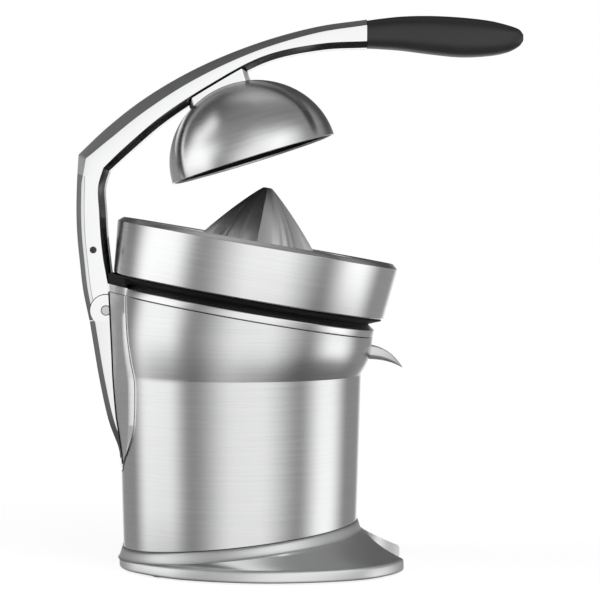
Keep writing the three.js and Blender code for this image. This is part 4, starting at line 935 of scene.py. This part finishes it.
# ------------------------------
# Juicing cone: one die casting, blasted. Four fins rise to a rounded tip and the faces between them
# are hollow, with low ribs that grow towards the foot.
CONE_R, CONE_FLANGE_R, CONE_BASE, CONE_TIP, CONE_STEPS = 51, 53, 44, 103, 240
SPINDLE_R, SPINDLE_TOP = 6, 66
RIBS, RIB_DEPTH = 12, 0.05
FIN_WIDTH, FIN_SHARPNESS, FIN_TAPER, FIN_SWELL = 3.2, 3.2, 0.92, 0.1
VALLEY_FOOT, VALLEY_GAIN, FACE_SWELL = 0.66, 0.22, 0.28     # the hollow faces, beside the fins
cone_turns = around(CONE_STEPS)


def cone_ring(share):
    fin = CONE_R * (1 - share) ** FIN_TAPER * (1 + FIN_SWELL * share) + FIN_WIDTH * math.sqrt(share)
    valley = fin * (VALLEY_FOOT + VALLEY_GAIN * share)
    quarter = np.abs((cone_turns / (math.pi / 2) + 0.5) % 1 - 0.5) * 2
    fold = (1 - quarter) ** FIN_SHARPNESS
    rib = RIB_DEPTH * np.maximum(0, np.cos(cone_turns * RIBS))
    swell = np.minimum(1, fold + FACE_SWELL * quarter ** 2)
    r = valley + (fin - valley) * swell + valley * rib * (1 - share)
    level = CONE_BASE + 4 + (CONE_TIP - 0.1 - CONE_BASE - 4) * share
    ring = np.stack([r * np.cos(cone_turns), r * np.sin(cone_turns), np.full(CONE_STEPS, level)], -1)
    return leaned(ring)


cone = lofted("cone", [cone_ring(s) for s in (1 - np.linspace(1, 0, 48) ** 1.6)])
flange = revolved("flange", [(0, CONE_BASE), (CONE_FLANGE_R, CONE_BASE), (CONE_FLANGE_R, CONE_BASE + 4.5),
                             (0, CONE_BASE + 4.5)], [0, 1, 1.5, 0], CONE_STEPS)
joined(cone, flange)
cut(cone, cylinder("hexagon", SPINDLE_R - 1.2, 0, SPINDLE_TOP + 0.6, count=6, lean=leaned),
    cylinder("relief", SPINDLE_R + 3, 0, CONE_BASE + 3, lean=leaned))
blasted_cast = cast_finish("blasted_cast", (0.82, 0.822, 0.828), 0.44, 0.0012, 0.00002)
dressed(smoothed(cone, 38), blasted_cast)
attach(cone, "spindle")
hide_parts("juicing_cone")

# ------------------------------
# Spout: an open trough, cast and polished. It hangs on a pin between two cheeks of the juice duct and
# curves down to a narrow lip.
polished_cast = cast_finish("polished_cast", (0.70, 0.705, 0.71), 0.32, 0.0016, 0.00002)
SPOUT_PIVOT = (89, 172)
SPOUT_HALF, SPOUT_WALL, SPOUT_TIP_HALF, SPOUT_STEPS = 11, 1.6, 3.2, 60
NARROWS_FROM, NARROWS_BY = 0.35, 1.7              # share of its length, and how suddenly


def bent(start, control, end, count):
    """Points along a quadratic bend."""
    t = np.linspace(0, 1, count)[:, None]
    a, b, c = (np.array(v, float) for v in (start, control, end))
    return a * (1 - t) ** 2 + 2 * b * t * (1 - t) + c * t * t


spout_top = np.vstack([[(83, 176.5), (94.5, 176.8)], bent((106, 177), (121, 174), (129.8, 160), 40)])
spout_low = np.vstack([[(83, 168), (94.5, 167)], bent((105.5, 166.2), (120, 165.4), (129.8, 159.4), 40)])
spout_top, spout_low = evenly(spout_top, SPOUT_STEPS), evenly(spout_low, SPOUT_STEPS)
spout_rings = []
for i, (high, low) in enumerate(zip(spout_top, spout_low)):
    share = i / (SPOUT_STEPS - 1)
    narrowed = max(0, (share - NARROWS_FROM) / (1 - NARROWS_FROM)) ** NARROWS_BY
    half = SPOUT_HALF - (SPOUT_HALF - SPOUT_TIP_HALF) * narrowed
    deep = max(np.linalg.norm(high - low), 0.9)
    wall = min(SPOUT_WALL, deep * 0.4)
    bend = min(half * 0.9, deep * 0.8)
    section = softened([(-half, deep), (-half, 0), (half, 0), (half, deep), (half - wall, deep),
                        (half - wall, wall), (-half + wall, wall), (-half + wall, deep)],
                       [0.5, bend, bend, 0.5, 0.5, max(bend - wall, 0.2), max(bend - wall, 0.2), 0.5], 6)
    up = (high - low) / max(np.linalg.norm(high - low), 1e-6)
    spout_rings.append([(low[0] + up[0] * d, y, low[1] + up[1] * d) for y, d in section])
spout = lofted("spout_trough", spout_rings)
cut(spout, bar_through("spout_bore", SPOUT_PIVOT, 1.75, 20))
dressed(smoothed(spout, 40), polished_cast)
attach(spout, "spout")
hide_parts("spout")
cad_dressed(satin_black, "juice_duct")
cad_dressed(turned_steel, "spout_pin", bevel=0.2)

# ------------------------------
# Arm: one polished casting, a long bowed sweep that bends down into the upright. Its section is a
# rectangle whose corners are cut back by flat bands, blasted outside; the inner bands are darkened as a
# painted reflection of the shade under the arm. The foot of the upright is slotted for the inner link and
# recessed for the ears of the rear link.
ARM_HALF, BAND_STEP, INNER_STEP = 15, 4, 7.5
PLAY, HEAD_GAP, TANG_HALF, LINK_SLOT_HALF, SCREW_BORE = 0.3, 0.7, 7, 5.4, 2.65
EAR, HEAD_R, COVER_DEPTH = 5.5, 12.4, 6.4
PIN_A, PIN_B = (-106, 205.6), (-116, 253.6)       # upper pins of the rear link and the inner link
# outer point, inner point, outer band and inner band, down the sweep, the upright and then the link
SWEEP = [(101, 436, 101, 414, 4.6, 4.5), (61, 430.2, 66, 412.2, 5, 4.5), (13, 416.9, 22, 402.8, 6, 4.8),
         (-35, 397, -22, 379.5, 7.6, 5), (-75, 373.8, -60, 354.4, 8.8, 5),
         (-105, 350.6, -88, 330.6, 8.8, 5), (-127.8, 329.2, -103.6, 316.4, 7, 4.6)]
UPRIGHT = [SWEEP[-1], (-129.1, 307, -107.4, 303, 4, 4.5), (-129.6, 283, -106.6, 283, 4, 4.5),
           (-128.9, 264, -105.6, 265, 4, 4.5), (-127, 244, -103.5, 246, 4, 4.5),
           (-124.5, 222, -100.9, 225, 4, 3), (-119.5, 197.2, -97.5, 203.6, 4, 1)]


def rungs_of(table, steps):
    """Smooth rungs between the given ones: outer point, inner point, outer band, inner band."""
    table = np.array(table, float)
    shares = np.linspace(0, 1, steps + 1)
    outer, inner = spline(table[:, :2], shares), spline(table[:, 2:4], shares)
    at, given_at = shares * (len(table) - 1), range(len(table))
    bands = np.stack([np.interp(at, given_at, table[:, k]) for k in (4, 5)], -1)
    return [(o, n, *b) for o, n, b in zip(outer, inner, bands)]


def banded_bar(name, rungs, half, step, soft=0.5):
    """A bar along its rungs: a rectangle with corners cut back by bands, its edges lightly rounded."""
    rings = []
    outer_step, inner_step = step if isinstance(step, tuple) else (step, step)
    for outer, inner, outer_band, inner_band in rungs:
        length = np.linalg.norm(inner - outer)
        a, b = outer_band or 0.01, length - (inner_band or 0.01)
        o, n = (outer_step if outer_band else 0), (inner_step if inner_band else 0)
        section = softened([(0, half - o), (a, half), (b, half), (length, half - n), (length, -half + n),
                            (b, -half), (a, -half), (0, -half + o)], soft, 3)
        along = (inner - outer) / length
        rings.append([(outer[0] + along[0] * d, y, outer[1] + along[1] * d) for d, y in section])
    return lofted(name, rings)


def shifted(rungs, start, end):
    """Rungs between two depths from the outer edge."""
    out = []
    for outer, inner, *_ in rungs:
        along = (inner - outer) / np.linalg.norm(inner - outer)
        out.append((outer + along * start, outer + along * end, 0, 0))
    return out


def flat_plate(name, outline, y0, y1):
    """A flat tool with an XZ outline."""
    return lofted(name, [[(x, y, z) for x, z in outline] for y in (y0, y1)])


sweep_rungs, upright_rungs = rungs_of(SWEEP, 110), rungs_of(UPRIGHT, 70)
arm_rungs = sweep_rungs + upright_rungs[1:]
DOME_RIM, DOME_TILT = (10.8, 325.6), math.radians(-17.25)
DOME_R, DOME_HEIGHT = 67.4, 63


def on_dome(points):
    return leaned(points, DOME_TILT, *DOME_RIM)


def dome_curve(inset, count):
    rise = np.linspace(0, math.pi / 2, count)
    return [((DOME_R - inset) * math.cos(a), (DOME_HEIGHT - inset) * math.sin(a)) for a in rise]


def dome_block(name, grow):
    """The room that the dome takes, as a solid."""
    rings = []
    for r, z in [(0.05, 0), *dome_curve(-grow, 40)[:-1], (0.05, DOME_HEIGHT + grow)]:
        rings.append(on_dome(outwards * r + (0, 0, z)))
    return lofted(name, rings)


def cover_tool(grow):
    rungs = shifted(upright_rungs[8:], -4, COVER_DEPTH + grow)
    run = (rungs[-1][0] - rungs[-2][0]) / np.linalg.norm(rungs[-1][0] - rungs[-2][0]) * 8
    rungs.append((rungs[-1][0] + run, rungs[-1][1] + run, 0, 0))
    return banded_bar("cover_tool", rungs, ARM_HALF + 1, 0, 0)


def ear_rooms():
    rooms = []
    for side in (-1, 1):
        y0, y1 = sorted((side * (ARM_HALF - EAR - PLAY), side * (ARM_HALF + 1)))
        rooms.append(cross_bar("ear_room", PIN_A, HEAD_R + HEAD_GAP, y0, y1, 128))
        rooms.append(box_tool("ear_way", PIN_A[0], -80, y0, y1, 180, PIN_A[1] + HEAD_R + HEAD_GAP))
    return rooms


def screw_bore():
    return cylinder("screw_bore", SCREW_BORE, DOME_HEIGHT - 20, DOME_HEIGHT + 9.3, lean=on_dome, count=32)


def link_slot():
    return flat_plate("link_slot", [(PIN_B[0] - 7.6, PIN_B[1] + 8), (-90, PIN_B[1] + 12), (-90, 185),
                                    (PIN_B[0] - 3.5, 185), (PIN_B[0] - 6.6, 225)],
                      -LINK_SLOT_HALF, LINK_SLOT_HALF)


# Polish of the arm: buffed along the bars, so it keeps a faint lengthwise line over the cast grain.
BUFFED_DEPTH = 0.000006
lengthwise, given, gives = node_group(
    "lengthwise_lines", {"Vector": (0, 0, 0), "Line width": 0.0008}, ["Height"])
parts = node(lengthwise, "ShaderNodeSeparateXYZ", {0: given["Vector"]}).outputs
crowded = xyz(lengthwise, reckon(lengthwise, "MULTIPLY", parts[0], 0.25),
              reckon(lengthwise, "DIVIDE", parts[1], given["Line width"]),
              reckon(lengthwise, "MULTIPLY", parts[2], 2.0))
lengthwise.links.new(noise(lengthwise, crowded, 1.0, 3.0, 0.6), gives["Height"])


def polished_finish(name, colour, roughness):
    """Buffed metal: lengthwise lines over the grain, and rubbed patches."""
    material, tree, shader = finish_of(name, colour, roughness)
    marks = group_in(tree, grain, Vector=on_object(tree), Grain_size=0.004)
    lines = group_in(tree, lengthwise, Vector=on_object(tree), Line_width=0.0009)
    bumped(tree, shader, reckon(tree, "MULTIPLY_ADD", marks["Height"], 0.3, lines["Height"]), BUFFED_DEPTH)
    worn(tree, shader, marks["Rubbed"], roughness - 0.04, roughness + 0.05,
         toned(colour, 0.975), toned(colour, 1.01))
    return material


arm_polish = polished_finish("arm_polish", (0.90, 0.902, 0.908), 0.17)
outer_band = cast_finish("blasted_outer_band", (0.34, 0.342, 0.346), 0.42, 0.0006, 0.00003)
# The inner bands' dark colour is a painted reflection of the shade beneath the arm, not a finish of the
# casting.
inner_band = polished_finish("inner_band_painted_reflection", (0.16, 0.161, 0.164), 0.2)
SLANT_LEAST, SLANT_MOST = 0.3, 0.95
BEND_MIDDLE = (0, 0, 250)                         # what the outer bands face away from


def edged(piece, outer=outer_band):
    """Gives the bands that slant from the sides to the outer and inner edges their own finishes; the inner
    bands' dark one is a painted reflection.
    """
    piece.data.materials.append(outer)
    piece.data.materials.append(inner_band)
    x, _, z = placed(BEND_MIDDLE)
    for face in piece.data.polygons:
        if SLANT_LEAST < abs(face.normal.y) < SLANT_MOST:
            outwards_by = face.normal.x * (face.center.x - x) + face.normal.z * (face.center.z - z)
            face.material_index = 1 if outwards_by > 0 else 2


arm = banded_bar("arm", arm_rungs, ARM_HALF, (BAND_STEP, INNER_STEP))
joined(arm, bar_through("tongue", PIN_A, HEAD_R - 1.6, ARM_HALF - EAR - PLAY, 96))
tang = softened([(96, 420), (96, 430), (150, 431), (186, 428), (186, 418), (150, 419.5)], 2, 4)
joined(arm, flat_plate("tang", tang, -TANG_HALF, TANG_HALF))
cut(arm, cover_tool(PLAY), *ear_rooms(), link_slot(), dome_block("dome_room", PLAY))
cut(arm, bar_through("bore_a", PIN_A, PIN_BORE, 20), bar_through("bore_b", PIN_B, 2.75, 20), screw_bore())
dressed(smoothed(arm, 24), arm_polish)
edged(arm)
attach(arm, "arm")
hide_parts("arm_casting")

# ------------------------------
# Cover strip down the back of the upright: a second casting set in flush, with the same bands; these and
# the link's outer bands are blasted, and painted darker than the arm's as painted shade. It hides the slot
# of the inner link.
# Blasted band, darker than the arm's own: partly its blasted finish, partly painted shade on the upright's
# outer edge.
upright_band_painted_shade = cast_finish("blasted_band_partly_painted_shade", (0.19, 0.191, 0.194), 0.42, 0.0006, 0.00003)
cover_cast = cast_finish("cover_cast", (0.85, 0.853, 0.86), 0.24, 0.0008, 0.00002)
cover = banded_bar("arm_cover", arm_rungs, ARM_HALF, (BAND_STEP, INNER_STEP))
kept_in(cover, cover_tool(0.0))
cut(cover, *ear_rooms(), link_slot(), bar_through("tongue_room", PIN_A, HEAD_R - 1.3, 9.5, 96))
dressed(smoothed(cover, 24), cover_cast)
edged(cover, upright_band_painted_shade)
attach(cover, "arm")
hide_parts("arm_rear_cover")

# ------------------------------
# Pins of the arm: the upper link pin is a flush steel pin, and the cross pin has a hexagon socket. One
# screw through the arm holds the press dome.
cross_pin = bar_through("cross_pin", PIN_B, 2.6, ARM_HALF + 0.4, 48)
smoothed(cross_pin, 30, bevel=0.4)
for side in (-1, 1):
    y0, y1 = sorted((side * (ARM_HALF - 1.4), side * (ARM_HALF + 1)))
    cut(cross_pin, cross_bar("socket", PIN_B, 1.4, y0, y1, 6))
dressed(smoothed(cross_pin, 30), oxide)
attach(cross_pin, "arm")
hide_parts("arm_cross_pin")
cad_dressed(turned_steel, "link_upper_pin", bevel=0.3)
cad_dressed(turned_steel, "dome_screw", bevel=0.2)

# ------------------------------
# Rear link: a cast fork. Two ears take the arm's pin in round heads, a web joins them behind, and a
# boss at the foot turns on the lower pin inside the spine.
LINK = [(-119.3, 196.6, -95.2, 199, 4.5, 0), (-116.8, 181, -95, 184, 4.5, 0),
        (-111.6, 150, -92.6, 154, 4.5, 0), (-104.3, 117, -88.4, 122, 4.5, 0),
        (-96.4, 95, -84.2, 98, 4, 0), (-95.1, 85, -82.9, 86, 3.5, 0)]
BOSS_END_R, HEAD_BORE = 6.5, 4.1
link_rungs = rungs_of(LINK, 60)
link = banded_bar("link", link_rungs, ARM_HALF, BAND_STEP)
joined(link, bar_through("head", PIN_A, HEAD_R, ARM_HALF, 160))
joined(link, bar_through("boss", PIN_G1, BOSS_END_R, ARM_HALF, 96))
pocket_rungs = []
for i, (outer, inner, *_) in enumerate(link_rungs[:-9]):
    along = (inner - outer) / np.linalg.norm(inner - outer)
    lift = np.array((-3, 30)) if i == 0 else np.zeros(2)
    pocket_rungs.append((outer + along * 4.5 + lift, inner + along * 6 + lift, 0, 0))
cut(link, banded_bar("fork", pocket_rungs, ARM_HALF - EAR, 0, 0),
    bar_through("head_room", PIN_A, HEAD_R + 3, ARM_HALF - EAR, 128))
cut(link, bar_through("bore_a", PIN_A, HEAD_BORE, 20), bar_through("bore_g", PIN_G1, PIN_BORE, 20))
dressed(smoothed(link, 24, bevel=0.5, bevel_angle=50), arm_polish)
# The link's outer bands take the darker blasted tone, partly painted shade.
edged(link, upright_band_painted_shade)
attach(link, "rear_link")
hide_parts("rear_link")
cad_dressed(deck_black, "inner_link", bevel=0.5)

# ------------------------------
# Washers: two thin black rings on the arm's pin, one between each ear of the link and the arm. Their
# rims show as a fine dark ring round the head.
WASHER_IN, WASHER_OUT, WASHER_R = 9.22, 9.48, HEAD_R + 0.6
washers = cross_bar("link_washers", PIN_A, WASHER_R, WASHER_IN, WASHER_OUT, 128)
joined(washers, cross_bar("far_washer", PIN_A, WASHER_R, -WASHER_OUT, -WASHER_IN, 128))
cut(washers, bar_through("washer_bore", PIN_A, 3.55, 20))
dressed(smoothed(washers, 30), deck_black)
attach(washers, "arm")

# ------------------------------
# Grip: matte black soft-touch moulding over the arm's tang, full in the middle and rounded at the end. It
# is moulded with a socket and pushed on.
GRIP_LEVELS = [(101.4, 435.9, 414.1, 15), (112, 437.4, 413.6, 15.6), (130, 439.2, 412.2, 16.4),
               (152, 439.6, 409.4, 17.2), (176, 438.4, 407.1, 17.4), (198, 435.9, 408, 16.4),
               (213, 432.4, 410.8, 14), (222, 429.2, 415.2, 10), (225.6, 425.4, 419.4, 5)]
GRIP_STEPS, GRIP_SQUARE = 128, 0.72
grip_turns = around(GRIP_STEPS)


def squared(value):
    return np.sign(value) * np.abs(value) ** GRIP_SQUARE


grip_rings = []
for x, top, low, half in spline(GRIP_LEVELS, np.linspace(0, 1, 90), centripetal=False):
    grip_rings.append(np.stack([np.full(GRIP_STEPS, x), half * squared(np.cos(grip_turns)),
                                (top + low) / 2 + (top - low) / 2 * squared(np.sin(grip_turns))], -1))
grip = lofted("grip_moulding", grip_rings)
grip_socket = softened([(90, 419.7), (90, 430.3), (150, 431.3), (186.3, 428.3), (186.3, 417.7),
                        (150, 419.2)], 1, 3)
cut(grip, flat_plate("socket", grip_socket, -TANG_HALF - PLAY, TANG_HALF + PLAY))
soft_touch = plastic_finish("soft_touch_black", (0.016, 0.016, 0.0165), 0.44, 0.0009, 0.00004,
                            Specular_IOR_Level=0.55)
dressed(smoothed(grip, 35), soft_touch)
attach(grip, "arm")
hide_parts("grip")

# ------------------------------
# Press dome: spun and brushed round its own axis, with a thin rolled rim over a black moulded liner. A
# bracket stands between the dome and the arm.
DOME_WALL, LINER_OUT, LINER_IN, LINER_LOW = 1.6, 2.2, 3.7, 1.5
dome_axis = tuple(placed((DOME_RIM[0], 0, DOME_RIM[1])))
brushed_dome = brushed_finish("brushed_dome", PALE_STEEL, 0.24, dome_axis, (0, DOME_TILT, 0))
rim = [(DOME_R - DOME_WALL, 0.4), (DOME_R - DOME_WALL + 0.4, 0), (DOME_R - 0.4, 0), (DOME_R, 0.4)]
outside, inside = dome_curve(0, 60)[1:-1], dome_curve(DOME_WALL, 50)[1:-1]
crown = [(SCREW_BORE, DOME_HEIGHT - 0.05), (SCREW_BORE, DOME_HEIGHT - DOME_WALL - 0.05)]
shell_profile = rim + outside + crown + inside[::-1]
dome = revolved("dome", shell_profile, 0, lean=on_dome, corner_steps=0)
dressed(smoothed(dome, 30), brushed_dome)
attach(dome, "arm")
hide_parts("press_dome")
outside, inside = dome_curve(LINER_OUT, 50)[2:-1], dome_curve(LINER_IN, 50)[2:-1]
edge = [(DOME_R - LINER_IN, LINER_LOW), (DOME_R - LINER_OUT, LINER_LOW)]
crown = [(SCREW_BORE, DOME_HEIGHT - LINER_OUT - 0.05), (SCREW_BORE, DOME_HEIGHT - LINER_IN - 0.05)]
liner_profile = edge + outside + crown + inside[::-1]
liner = revolved("liner", liner_profile, 0, lean=on_dome, steps=192, corner_steps=0)
dressed(smoothed(liner, 30), deck_black)
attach(liner, "arm")
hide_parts("dome_liner")

# ------------------------------
# Bracket: a polished saddle that fits round the bands of the arm's inner edge and stands on the dome, with
# its own four corners cut back by bands.
BRACKET_REAR, BRACKET_FRONT, BRACKET_HALF, BRACKET_BAND = -35.9, 16.6, 14, 4
SADDLE_GAP = 0.25
over_bracket = sweep_rungs[29:104]
half_plan = [(BRACKET_REAR, BRACKET_HALF - BRACKET_BAND), (BRACKET_REAR + BRACKET_BAND, BRACKET_HALF),
             (BRACKET_FRONT - BRACKET_BAND, BRACKET_HALF), (BRACKET_FRONT, BRACKET_HALF - BRACKET_BAND)]
saddle_plan = softened(mirrored(half_plan), 0.5, 3)
saddle = lofted("saddle", [on_dome([(x, y, z) for x, y in saddle_plan]) for z in (30, DOME_HEIGHT + 30)])
band_edge = [n + (o - n) * band / np.linalg.norm(o - n) for o, n, _, band in over_bracket]
below = [(n[0], n[1] - 20) for _, n, *_ in over_bracket]
kept_in(saddle, flat_plate("saddle_side", [tuple(p) for p in band_edge] + below[::-1], -15, 15))
arm_room = [(o, n + (n - o) / np.linalg.norm(n - o) * SADDLE_GAP, a, b) for o, n, a, b in over_bracket]
cut(saddle, banded_bar("arm_room", arm_room, ARM_HALF + SADDLE_GAP, BAND_STEP),
    dome_block("dome_room", SADDLE_GAP), screw_bore())
dressed(smoothed(saddle, 24), arm_polish)
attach(saddle, "arm")
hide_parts("dome_bracket")

# ------------------------------
# Last: the scene is brought up to date, with every piece standing in its place.
bpy.context.view_layer.update()
